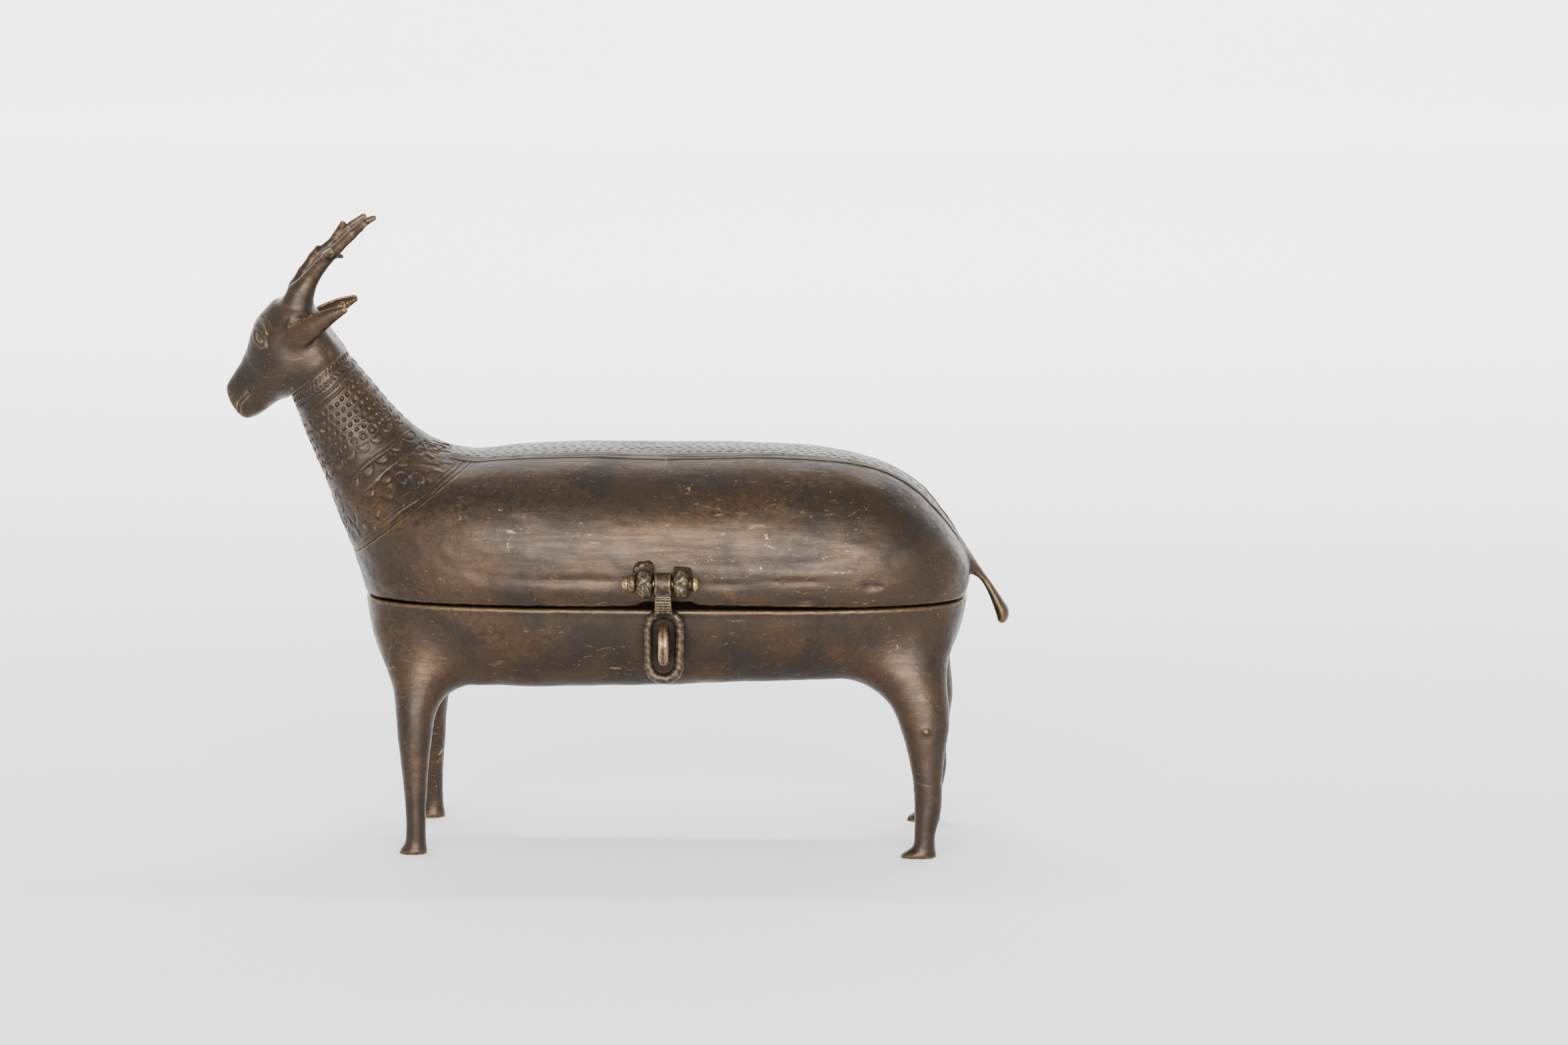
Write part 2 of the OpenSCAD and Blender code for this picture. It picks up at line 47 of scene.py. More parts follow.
RIM_Z = 95.5
BELLY_Z = 63.2
BODY_X = 19.5
TROUGH_HALF = (114.0, 45.0)
WALL = 3.0
CORNER_IN = 15.0
CORNER_POWER = 1.8
PLAN_POWER = 3.2
LEG_MELT = 9.0


def melt(a, b, k):
    """Two solids run together: the lower of two fields, rounded over a width k where they are alike."""
    h = np.clip(0.5 + 0.5 * (b - a) / k, 0, 1)
    return b + (a - b) * h - k * h * (1 - h)


def cut(a, b, k):
    """Solid a kept only where b is negative too: the higher of two fields, with an edge rounded over k."""
    return -melt(-a, -b, k)


def smooth(low, high, v):
    """0 below low, 1 above high, and an S-curve between them."""
    t = np.clip((v - low) / (high - low), 0, 1)
    return t * t * (3 - 2 * t)


def hump(a, width, power=2):
    """1 at a = 0, falling to nothing beyond width, the more abruptly the higher the power."""
    return np.exp(-((a / width) ** power))


def course(rows, s):
    """Columns of given rows (place, value, value...) read at the places s, on a Catmull-Rom curve through them."""
    rows = np.asarray(rows, float)
    p = np.vstack([rows[:1], rows, rows[-1:]])
    t = np.linspace(0, 1, 16, endpoint=False)[:, None]
    fine = [
        0.5 * (2 * p[i] + (p[i + 1] - p[i - 1]) * t + (2 * p[i - 1] - 5 * p[i] + 4 * p[i + 1] - p[i + 2]) * t**2
               + (3 * p[i] - p[i - 1] - 3 * p[i + 1] + p[i + 2]) * t**3)
        for i in range(1, len(p) - 2)
    ]
    fine = np.vstack([*fine, rows[-1:]])
    return [np.interp(s, fine[:, 0], fine[:, k]) for k in range(1, rows.shape[1])]


def plan_distance(x, y, half):
    """How far a place lies outside the body's outline in plan, a superellipse with half axes half."""
    ax, ay = np.abs(x - BODY_X) / half[0], np.abs(y) / half[1]
    r = (ax**PLAN_POWER + ay**PLAN_POWER) ** (1 / PLAN_POWER) + 1e-6
    slope = np.hypot((ax / r) ** (PLAN_POWER - 1) / half[0], (ay / r) ** (PLAN_POWER - 1) / half[1])
    return (r - 1) / (slope + 1e-6)


def hand_work(x, y, z, size):
    """Slow unevenness of hand-modelled wax: a sum of sine products with waves of about size."""
    k = 2 * math.pi / size
    return (np.sin(k * (x + 0.4 * z) + 1.3) * np.cos(k * 0.8 * (y - z)) * 0.5
            + np.sin(k * 1.7 * (x - 0.6 * y) + 0.4) * np.sin(k * 1.5 * z + 2.1) * 0.3
            + np.cos(k * 2.6 * (z + 0.5 * x)) * np.sin(k * 2.3 * (y + 0.3 * x) + 0.7) * 0.2)


def boat(x, y, z, inset):
    """The trough's outer form moved in by inset: side and belly joined by a superelliptic corner."""
    rise = 3.9 * smooth(-60, 110, x) ** 1.5
    bead = 0.35 * hump(z - RIM_Z + 1.2, 1.3)
    side = np.maximum(plan_distance(x, y, TROUGH_HALF) - bead + inset + CORNER_IN, 0) / CORNER_IN
    depth = np.maximum(RIM_Z - z, 0) / (RIM_Z - BELLY_Z - rise - inset)
    return ((side**CORNER_POWER + depth**CORNER_POWER) ** (1 / CORNER_POWER) - 1) * CORNER_IN


# Legs from the sole up: height, front edge, back edge, middle and half width across.
FRONT_LEG = [(-2, -80.7, -69.4, 37.2, 4.7), (0, -80.7, -69.4, 37.2, 4.8), (1.6, -79.7, -69.5, 37.2, 4.5),
             (4.5, -78.0, -70.0, 37.1, 3.8), (10, -77.5, -70.2, 36.9, 3.7), (20, -78.0, -70.0, 36.2, 4.0),
             (31, -79.1, -69.2, 35.2, 4.8), (42, -80.7, -68.2, 33.8, 6.0), (53, -81.7, -66.6, 31.8, 7.4),
             (62, -82.7, -63.3, 29.6, 8.6), (72, -84.9, -57.6, 26.6, 9.6), (84, -85.0, -56.0, 22.0, 9.0),
             (94, -79.0, -60.0, 18.0, 5.0)]
REAR_LEG = [(-2, 109.0, 123.2, 37.2, 4.7), (0, 109.0, 123.3, 37.2, 4.8), (1.8, 110.6, 123.0, 37.2, 4.5),
            (4.5, 114.2, 122.8, 37.1, 3.9), (9, 114.9, 122.9, 36.9, 3.8), (20, 114.9, 125.2, 36.2, 4.2),
            (30, 114.0, 125.4, 35.2, 5.0), (40, 112.0, 126.3, 34.0, 6.0), (49, 109.2, 127.7, 32.6, 7.0),
            (56, 106.3, 127.6, 31.2, 8.0), (63, 101.3, 127.0, 29.4, 9.0), (72, 94.8, 126.2, 26.8, 10.0),
            (84, 91.0, 123.0, 22.0, 9.5), (94, 96.0, 116.0, 18.0, 5.0)]
PLUG = (119.2, -39.4, 48.6, 1.3)


def leg(x, y, z, rows):
    """Upright bar whose elliptic section follows rows with height."""
    front, back, mid, half = course(rows, z)
    long_half = (back - front) / 2
    r = np.sqrt(((x - (front + back) / 2) / long_half) ** 2 + ((np.abs(y) - mid) / half) ** 2)
    return (r - 1) * np.minimum(long_half, half)


def trough_form(x, y, z):
    """Boat and legs melted together, hollowed by the same boat one wall smaller, cut at the rim and the ground."""
    outside = melt(boat(x, y, z, 0), melt(leg(x, y, z, FRONT_LEG), leg(x, y, z, REAR_LEG), 1), LEG_MELT)
    outside = outside + 0.18 * hand_work(x, y, z, 46) + 0.07 * hand_work(z, x, y, 15)
    plug = np.sqrt((x - PLUG[0]) ** 2 + (y - PLUG[1]) ** 2 + (z - PLUG[2]) ** 2) - PLUG[3]
    outside = melt(outside, plug, 0.5)
    walls = cut(outside, -(boat(x, y, z, WALL) + 0.25 * hand_work(y, z, x, 30)), 0.8)
    rim = RIM_Z - 0.25 + 0.18 * np.sin(x / 13.0) * np.cos(y / 17.0 + 1)
    return cut(cut(walls, z - rim, 1.1), 0.05 - z, 0.6)


def settle(form, p, reach, rounds=3):
    """Newton steps along the field's own slope, so that every point ends on the surface form = 0."""
    h = 0.04
    for _ in range(rounds):
        f = form(*p.T)
        g = np.stack([(form(*(p + d).T) - form(*(p - d).T)) / (2 * h) for d in np.eye(3) * h], axis=1)
        move = -(f / np.maximum((g * g).sum(1), 0.02))[:, None] * g
        length = np.maximum(np.linalg.norm(move, axis=1, keepdims=True), 1e-9)
        p = p + move * np.minimum(1, reach / length)
    return p


def cast(form, low, high, step):
    """Skin of a solid by surface nets: one point in each cell of a grid that the surface crosses, at the middle of its
    crossings, and one face across each crossed edge of the grid. The points then settle on the surface itself."""
    axes = [np.arange(a, b + step, step) for a, b in zip(low, high)]
    f = form(*np.meshgrid(*axes, indexing="ij"))
    cells = np.array(f.shape) - 1
    keys, places, faces = [], [], []
    for a in range(3):
        b, c = (a + 1) % 3, (a + 2) % 3
        near = f[tuple(slice(0, -1) if k == a else slice(None) for k in range(3))]
        far = f[tuple(slice(1, None) if k == a else slice(None) for k in range(3))]
        crossed = (near < 0) != (far < 0)
        at = np.argwhere(crossed)
        place = at.astype(float)
        place[:, a] += near[crossed] / (near[crossed] - far[crossed])
        ring = []
        for db, dc in ((0, 0), (1, 0), (1, 1), (0, 1)):
            cell = at.copy()
            cell[:, b] -= db
            cell[:, c] -= dc
            ring.append(np.ravel_multi_index(cell.T, cells))
        ring = np.stack(ring, axis=1)
        keys.append(ring.T.ravel())
        places.append(np.tile(place, (4, 1)))
        faces.append(np.where((near[crossed] < 0)[:, None], ring, ring[:, ::-1]))
    used, index = np.unique(np.concatenate(keys), return_inverse=True)
    place = np.concatenate(places)
    count = np.bincount(index)
    middle = np.stack([np.bincount(index, place[:, k]) / count for k in range(3)], axis=1)
    points = settle(form, np.array(low) + middle * step, step * 0.6)
    return points, np.searchsorted(used, np.concatenate(faces))


def crispness(form, p, h):
    """How sharply a surface bends at the points p, from the field's Laplacian over its slope: above a half on ridges,
    below it in grooves."""
    around = [form(*(p + d).T) for d in np.vstack([np.eye(3), -np.eye(3)]) * h]
    slope = np.sqrt(sum((around[k] - around[k + 3]) ** 2 for k in range(3))) / (2 * h)
    bend = (sum(around) - 6 * form(*p.T)) / (h * h) / np.maximum(slope, 0.2)
    return np.clip(0.5 + 0.42 * bend / (1 + 0.45 * np.abs(bend)), 0, 1)


def make_piece(name, points, faces, body, slot, stands_for, relief):
    """Blender object from points in millimetres and faces; it rides on a body and stands for CAD nodes. Relief is kept
    as an attribute that says where its slot's finish is rubbed or dirty."""
    mesh = bpy.data.meshes.new(name)
    mesh.from_pydata((points / 1000).tolist(), [], faces)
    mesh.polygons.foreach_set("use_smooth", np.ones(len(mesh.polygons), bool))
    mesh.attributes.new("relief", "FLOAT", "POINT").data.foreach_set("value", relief.astype(np.float32))
    mesh.update()
    piece = bpy.data.objects.new(name, mesh)
    bpy.context.scene.collection.objects.link(piece)
    mesh.materials.append(finishes[slot])
    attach(piece, body)
    if stands_for:
        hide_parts(*stands_for)


def cast_piece(name, form, low, high, step, body, slot, stands_for):
    """A piece whose skin is the field's zero surface."""
    points, faces = cast(form, low, high, step)
    make_piece(name, points, faces.tolist(), body, slot, stands_for, crispness(form, points, 0.8 * step))


# The bronze's finish: old dark patina that is brown to ochre where it is thin, gold where something rubbed or scratched
# it, with the fine marks of scraping and of the clay mould. Places are in millimetres.
work = bpy.data.node_groups.new("bronze_finish", "ShaderNodeTree")
for way, kind, labels in (("INPUT", "Color", ("Dark", "Brown", "Ochre", "Gold")),
                          ("INPUT", "Float", ("Rubbed", "Scratched", "Flaked", "Rough", "Grain")),
                          ("OUTPUT", "Color", ("Colour",)), ("OUTPUT", "Float", ("Roughness", "Metal", "Height"))):
    for label in labels:
        work.interface.new_socket(label, in_out=way, socket_type="NodeSocket" + kind)


class Bench:
    """Short hand for adding and joining nodes in one tree."""

    def __init__(self, tree):
        self.tree = tree

    def node(self, kind, **settings):
        n = self.tree.nodes.new(kind if kind.startswith("Node") else "ShaderNode" + kind)
        for k, v in settings.items():
            setattr(n, k, v)
        return n

    def feed(self, socket, value):
        if hasattr(value, "is_output"):
            self.tree.links.new(value, socket)
        else:
            socket.default_value = value

    def math(self, operation, a, b=0.0, clamp=False):
        n = self.node("Math", operation=operation, use_clamp=clamp)
        self.feed(n.inputs[0], a)
        self.feed(n.inputs[1], b)
        return n.outputs[0]

    def times(self, a, b):
        return self.math("MULTIPLY", a, b)

    def total(self, first, *terms):
        for term in terms:
            first = self.math("ADD", first, term)
        return first

    def span(self, value, low, high, to_low=0.0, to_high=1.0):
        n = self.node("MapRange", interpolation_type="SMOOTHSTEP")
        for k, v in zip(range(5), (value, low, high, to_low, to_high)):
            self.feed(n.inputs[k], v)
        return n.outputs[0]

    def noise(self, place, scale, detail=3.0, roughness=0.55, distortion=0.0):
        n = self.node("TexNoise")
        self.feed(n.inputs["Vector"], place)
        settings = {"Scale": scale, "Detail": detail, "Roughness": roughness, "Distortion": distortion}
        for label, value in settings.items():
            n.inputs[label].default_value = value
        return n.outputs["Fac"]

    def turned(self, place, offset, angles, stretch):
        n = self.node("Mapping")
        self.feed(n.inputs["Vector"], place)
        n.inputs["Location"].default_value = offset
        n.inputs["Rotation"].default_value = angles
        n.inputs["Scale"].default_value = stretch
        return n.outputs[0]

    def blend(self, share, a, b, way="MIX"):
        n = self.node("Mix", data_type="RGBA", blend_type=way)
        self.feed(n.inputs[0], share)
        self.feed(n.inputs[6], a)
        self.feed(n.inputs[7], b)
        return n.outputs[2]


w = Bench(work)
given = w.node("NodeGroupInput").outputs
made = w.node("NodeGroupOutput").inputs
to_mm = w.node("VectorMath", operation="SCALE")
work.links.new(w.node("TexCoord").outputs["Object"], to_mm.inputs[0])
to_mm.inputs["Scale"].default_value = 1000
mm = to_mm.outputs[0]
relief = w.node("Attribute", attribute_name="relief").outputs["Fac"]

# Broad clouds of thicker and thinner patina, and streaks left by scraping along the body.
clouds = w.noise(mm, 0.034, 6, 0.62, 0.8)
warmth = w.noise(w.turned(mm, (31, 7, 90), (0, 0, 0), (1, 1, 1.5)), 0.021, 5, 0.6, 1.0)
streaks = w.noise(w.turned(mm, (0, 0, 0), (0, 0.06, 0.1), (0.05, 0.5, 0.6)), 1.0, 4, 0.65, 0.2)
grain = w.noise(mm, 1.5, 3, 0.6)
specks = w.noise(mm, 0.42, 5, 0.7, 0.6)
colour = w.blend(w.span(clouds, 0.36, 0.62), given["Dark"], given["Brown"])
thin = w.times(w.span(warmth, 0.44, 0.66), w.span(specks, 0.36, 0.62))
colour = w.blend(w.times(thin, 0.85), colour, given["Ochre"])
colour = w.blend(w.span(streaks, 0.3, 0.72, 0.0, 0.4), colour, given["Dark"])
colour = w.blend(w.span(grain, 0.3, 0.75, 0.0, 0.25), colour, (0.2, 0.17, 0.15, 1), "SOFT_LIGHT")

# Thin bright scratches that run in a few directions, each bent a little, only in some places.
bent = w.node("VectorMath", operation="MULTIPLY_ADD")
drift = w.node("TexNoise")
work.links.new(mm, drift.inputs["Vector"])
drift.inputs["Scale"].default_value = 0.06
work.links.new(drift.outputs["Color"], bent.inputs[0])
bent.inputs[1].default_value = (14, 14, 14)
work.links.new(mm, bent.inputs[2])
lines = 0.0
for offset, angles, low in (((0, 0, 0), (0.3, 0.5, 0.2), 0.70), ((40, 9, 3), (0.1, -0.9, 0.5), 0.70),
                            ((7, 70, 31), (0.9, 1.3, -0.4), 0.715), ((90, 3, 66), (0.2, 0.12, 0.1), 0.71)):
    line = w.noise(w.turned(bent.outputs[0], offset, angles, (0.045, 1.5, 1.5)), 1.0, 2, 0.5)
    lines = w.math("MAXIMUM", lines, w.span(line, low, low + 0.05))
here = w.span(w.noise(w.turned(mm, (5, 55, 5), (0, 0, 0), (1, 1, 1)), 0.045, 3, 0.6), 0.42, 0.6)
scratches = w.times(w.times(lines, here), given["Scratched"])

# Flakes where the patina came off in small ragged patches.
ragged = w.noise(w.turned(mm, (3, 2, 77), (0.2, 0.3, 0.1), (0.55, 1, 1)), 0.21, 6, 0.68, 1.2)
flaked_here = w.span(w.noise(w.turned(mm, (66, 12, 1), (0, 0, 0), (1, 1, 1)), 0.026, 3, 0.5), 0.5, 0.64)
flakes = w.times(w.span(ragged, 0.6, 0.68), w.times(flaked_here, given["Flaked"]))

# Ridges rubbed by hands, grooves filled with dirt.
ridge = w.times(w.span(relief, 0.56, 0.95), w.span(specks, 0.3, 0.6, 0.35, 1.0))
rubbed = w.times(ridge, given["Rubbed"])
dirty = w.span(relief, 0.44, 0.12)
bright = w.math("MAXIMUM", rubbed, w.math("MAXIMUM", w.times(scratches, 0.8), flakes), clamp=True)
colour = w.blend(w.times(dirty, 0.75), colour, w.blend(0.5, given["Dark"], (0.01, 0.009, 0.008, 1)))
colour = w.blend(bright, colour, given["Gold"])
w.feed(made["Colour"], colour)

rough = w.total(given["Rough"], w.span(streaks, 0.3, 0.7, -0.07, 0.09), w.span(clouds, 0.3, 0.7, 0.06, -0.05),
                w.span(specks, 0.3, 0.7, -0.04, 0.05), w.times(bright, -0.06))
w.feed(made["Roughness"], w.math("ADD", rough, w.times(dirty, 0.25), clamp=True))
w.feed(made["Metal"], w.times(w.span(bright, 0.0, 1.0, 0.78, 1.0), w.span(dirty, 0.0, 1.0, 1.0, 0.3)))

# Heights in millimetres: hammer and scraper facets, streaks, sandy grain, and the scratches' own depth.
facets = w.noise(mm, 0.13, 2, 0.5, 0.3)
height = w.total(w.times(facets, 0.22), w.times(streaks, 0.09), w.times(w.times(grain, 0.045), given["Grain"]),
                 w.times(specks, 0.05))
w.feed(made["Height"], w.math("SUBTRACT", height, w.times(scratches, 0.03)))


finishes = {}


def bronze_finish(name, coat, **values):
    """Material made of the bronze finish with its own values, under a thin wax coat."""
    m = bpy.data.materials.new(name)
    m.use_nodes = True
    b = Bench(m.node_tree)
    shader = m.node_tree.nodes["Principled BSDF"]
    g = b.node("Group")
    g.node_tree = work
    for label, value in values.items():
        g.inputs[label].default_value = value
    bump = b.node("Bump")
    bump.inputs["Distance"].default_value = 0.001
    bump.inputs["Strength"].default_value = 0.9
    b.feed(bump.inputs["Height"], g.outputs["Height"])
    b.feed(shader.inputs["Normal"], bump.outputs[0])
    b.feed(shader.inputs["Base Color"], g.outputs["Colour"])
    b.feed(shader.inputs["Roughness"], g.outputs["Roughness"])
    b.feed(shader.inputs["Metallic"], g.outputs["Metal"])
    shader.inputs["Coat Weight"].default_value = coat
    shader.inputs["Coat Roughness"].default_value = 0.42
    finishes[name] = m


bronze_finish("bronze_patina", 0.12, Dark=(0.0195, 0.0131, 0.0088, 1), Brown=(0.039, 0.0216, 0.0112, 1),
              Ochre=(0.066, 0.0335, 0.0133, 1), Gold=(0.29, 0.178, 0.07, 1), Rubbed=0.42, Scratched=0.8, Flaked=0.8,
              Rough=0.4, Grain=1.0)
bronze_finish("bronze_fittings", 0.1, Dark=(0.016, 0.0125, 0.0098, 1), Brown=(0.04, 0.027, 0.018, 1),
              Ochre=(0.068, 0.042, 0.02, 1), Gold=(0.3, 0.2, 0.09, 1), Rubbed=0.5, Scratched=0.4, Flaked=0.3,
              Rough=0.36, Grain=2.0)
bronze_finish("bronze_worn", 0.05, Dark=(0.05, 0.036, 0.024, 1), Brown=(0.13, 0.088, 0.046, 1),
              Ochre=(0.22, 0.145, 0.065, 1), Gold=(0.46, 0.31, 0.145, 1), Rubbed=0.9, Scratched=0.6, Flaked=0.6,
              Rough=0.32, Grain=1.4)
CASTING_STEP = 1.1

cast_piece("trough_casting", trough_form, (-98, -48, -2.2), (137, 48, 98.5), CASTING_STEP, "box", "bronze_patina",
           ["trough", "leg_front_left", "leg_front_right", "leg_rear_left", "leg_rear_right"])

# ---------------------------------------------------------------------------------------------
# Lid
# The upper half of the body, one casting with the neck, the head and the tail: a long dome that
# bulges over the rim and tucks in at the seam. The tail is a flat strip that hangs clear of the rump.

SEAM_Z = 96.0
WIDE_Z = 105.0
TOP_Z = 151.9
LID_HALF = (115.4, 46.6)
TUCK = 1.6
CHEST_POWER = 3.2
RUMP_POWER = (1.78, 1.47)
SIDE_POWER = 2.35
NECK_MELT = 12.0
# The neck's own directions in the middle plane: along it, and across it towards the nape.
NECK_ROOT = (-95.0, 118.0)
NECK_ALONG = (-0.62, 0.785)
NECK_ACROSS = (0.785, 0.62)
# The neck: place along it, front and nape lines across it, half width.
NECK = [(-30, -3.8, 48, 30), (-14, -3.8, 47, 28), (-3, -3.9, 45.6, 25.5), (12, -2.9, 41.6, 21.5),
        (26, 0.4, 38.4, 18.4), (42, 4.8, 37.5, 15.8), (52, 7.8, 37.2, 14.8), (58, 9.6, 36.9, 14.4),
        (64, 11.6, 37.2, 13.9), (74, 14.5, 36.8, 13), (90, 17, 32, 12)]


def neck_place(x, z):
    """Coordinates along and across the neck of a place in the middle plane."""
    dx, dz = x - NECK_ROOT[0], z - NECK_ROOT[1]
    return dx * NECK_ALONG[0] + dz * NECK_ALONG[1], dx * NECK_ACROSS[0] + dz * NECK_ACROSS[1]


def dome(x, y, z, inset):
    """Body of the lid moved in by inset: a superellipsoid above its widest place, walls that tuck in below it."""
    h = TOP_Z - WIDE_Z - inset
    half = (LID_HALF[0] - inset, LID_HALF[1] - inset)
    tuck = TUCK * np.clip((WIDE_Z - z) / (WIDE_Z - SEAM_Z), 0, 1.3) ** 2
    ax, ay = np.abs(x - BODY_X) / (half[0] - tuck), np.abs(y) / (half[1] - tuck)
    up = np.clip((z - WIDE_Z) / h, 0, None)
    share = ax**2 / (ax**2 + ay**2 + 1e-9)
    end = np.where(x < BODY_X, CHEST_POWER, RUMP_POWER[0] + RUMP_POWER[1] * np.clip(up, 0, 1) ** 2)
    power = SIDE_POWER + (end - SIDE_POWER) * share
    flat = (ax**PLAN_POWER + ay**PLAN_POWER) ** (1 / PLAN_POWER)
    r = (flat**power + up**power) ** (1 / power)
    reach = np.sqrt((x - BODY_X) ** 2 + y**2 + (np.clip(z - WIDE_Z, 0, None)) ** 2) + 1e-6
    return (r - 1) * np.minimum(reach / (r + 1e-6), half[1])


def neck(x, y, z, inset):
    """Neck moved in by inset: elliptic sections whose front, nape and width follow the rows."""
    s, q = neck_place(x, z)
    front, nape, half = course(NECK, s)
    a, b = (nape - front) / 2 - inset, half - inset
    r = np.sqrt(((q - (front + nape) / 2) / a) ** 2 + (y / b) ** 2)
    return (r - 1) * np.minimum(a, b)


# Dents and folds in the lid's side: place, half sizes, and depth (a negative depth stands up).
DENTS = [(98, -38, 104.2, 2.4, 6, 1.0, 1.0), (101.5, -37, 104.0, 1.8, 6, 0.8, 0.6),
         (74.5, -44, 98.6, 2.6, 5, 1.0, 0.7), (70, -44, 106.2, 11, 7, 0.8, 0.45), (-12, -44, 106.4, 18, 9, 1.3, 0.55),
         (-12, -44, 102, 20, 9, 2.2, -0.3), (44, -45, 105.2, 9, 7, 0.9, 0.5), (64, -42, 113.0, 30, 9, 2.2, 0.35),
         (30, -40, 121, 22, 12, 4, 0.35), (92, -30, 118, 10, 12, 3.4, -0.3), (-48, -42, 112, 9, 10, 7, 0.45),
         (52, 42, 108, 14, 9, 3, 0.5), (-30, 43, 104, 12, 9, 2, 0.5)]
# The lid's edge above the rim on the hasp's side: place along the body and open gap.
GAP = [(-110, 0.35), (-60, 0.45), (-20, 0.6), (0, 0.8), (9, 1.1), (13, 2.3), (19, 2.8), (26, 2.9), (31, 2.5),
       (36, 1.5), (48, 1.3), (66, 0.9), (84, 0.5), (104, 0.25), (140, 0.2)]


def lid_form(x, y, z):
    """Outside of the lid with its neck, melted together, with the unevenness of hand work and its dents."""
    f = melt(dome(x, y, z, 0), neck(x, y, z, 0), NECK_MELT)
    f = f + 0.2 * hand_work(x, y, z, 52) + 0.08 * hand_work(z, y, x, 17) + 0.07 * hand_work(x / 4, y / 2, z, 9)
    for px, py, pz, hx, hy, hz, deep in DENTS:
        f = f + deep * np.exp(-(((x - px) / hx) ** 2) - ((y - py) / hy) ** 2 - ((z - pz) / hz) ** 2)
    return f


# The tail from its tip up to its root in the rump: height, inner and outer edge, half width.
TAIL = [(83.8, 146.6, 147.8, 2.2), (85.0, 145.4, 149.0, 3.9), (87.0, 144.9, 149.8, 4.4), (90, 143.9, 149.3, 4.2),
        (94, 142.4, 146.7, 3.2), (98, 140.5, 144.0, 2.7), (101, 138.4, 141.9, 2.8), (103, 136.0, 140.5, 3.1),
        (107, 132.3, 137.7, 3.6), (112, 127.7, 134.1, 4.0), (118, 122.4, 129.8, 4.2), (125, 116.0, 124.2, 4.2),
        (132, 108.0, 117.0, 4.0)]


def tail(x, y, z):
    """Flat strip whose edges and width follow the rows with height, ended at its tip and inside the rump."""
    inner, outer, half = course(TAIL, z)
    a = (outer - inner) / 2
    r = np.sqrt(((x - (inner + outer) / 2) / a) ** 2 + (y / half) ** 2)
    return cut(cut((r - 1) * np.minimum(a, half), 83.9 - z, 0.6), z - 128, 4)


def lid_shell_form(x, y, z):
    """The lid's casting up to the neck's border: hollow, with an uneven edge at the seam, and sunk where the neck's own
    piece covers it."""
    s, q = neck_place(x, z)
    under_neck = smooth(-3.2, -2.2, s) * 0.8
    hollow = melt(dome(x, y, z, WALL), neck(x, y, z, 4.5), NECK_MELT) + 0.25 * hand_work(y, z, x, 33)
    open_gap = course(GAP, x)[0]
    torn = 0.12 + 0.3 * smooth(1.0, 2.4, open_gap)
    gap = np.where(y < 0, open_gap, 0.5) - 0.45 + torn * np.sin(x / 1.3) * np.sin(x / 3.1 + 1)
    shell = cut(cut(lid_form(x, y, z) + under_neck, -hollow, 0.8), SEAM_Z + gap - z, 0.9)
    return melt(cut(shell, s - 2, 0.4), cut(tail(x, y, z), -hollow, 0.5), 2.2)


LID_STEP = 1.05

cast_piece("lid_casting", lid_shell_form, (-104, -50, 82), (152, 50, 160), LID_STEP, "lid", "bronze_patina",
           ["lid_shell", "tail"])

# ---------------------------------------------------------------------------------------------
# Neck
# The upper part of the same casting as the lid, with its ornament chased into it.

NECK_FOOT = -2.8
NECK_TOP = 60.4
LINE = 0.42


def chased(d, half, deep):
    """Depth of a rounded furrow at distance d from its middle line."""
    return -deep * hump(d, half, 4)


def stroke(u, v, long, wide, angle, deep):
    """Depth of one slanting punch mark, an elongated rounded dent."""
    c, n = math.cos(angle), math.sin(angle)
    return -deep * np.exp(-(((u * c + v * n) / long) ** 4) - ((v * c - u * n) / wide) ** 2)


def along(c, length, period, shift=0.0):
    """Place within one motif of a row that repeats around the neck a whole number of times."""
    n = np.maximum(np.round(length / period), 1)
    turn = np.median(n) * c / length + shift
    return (turn - np.round(turn)) * length / np.median(n)


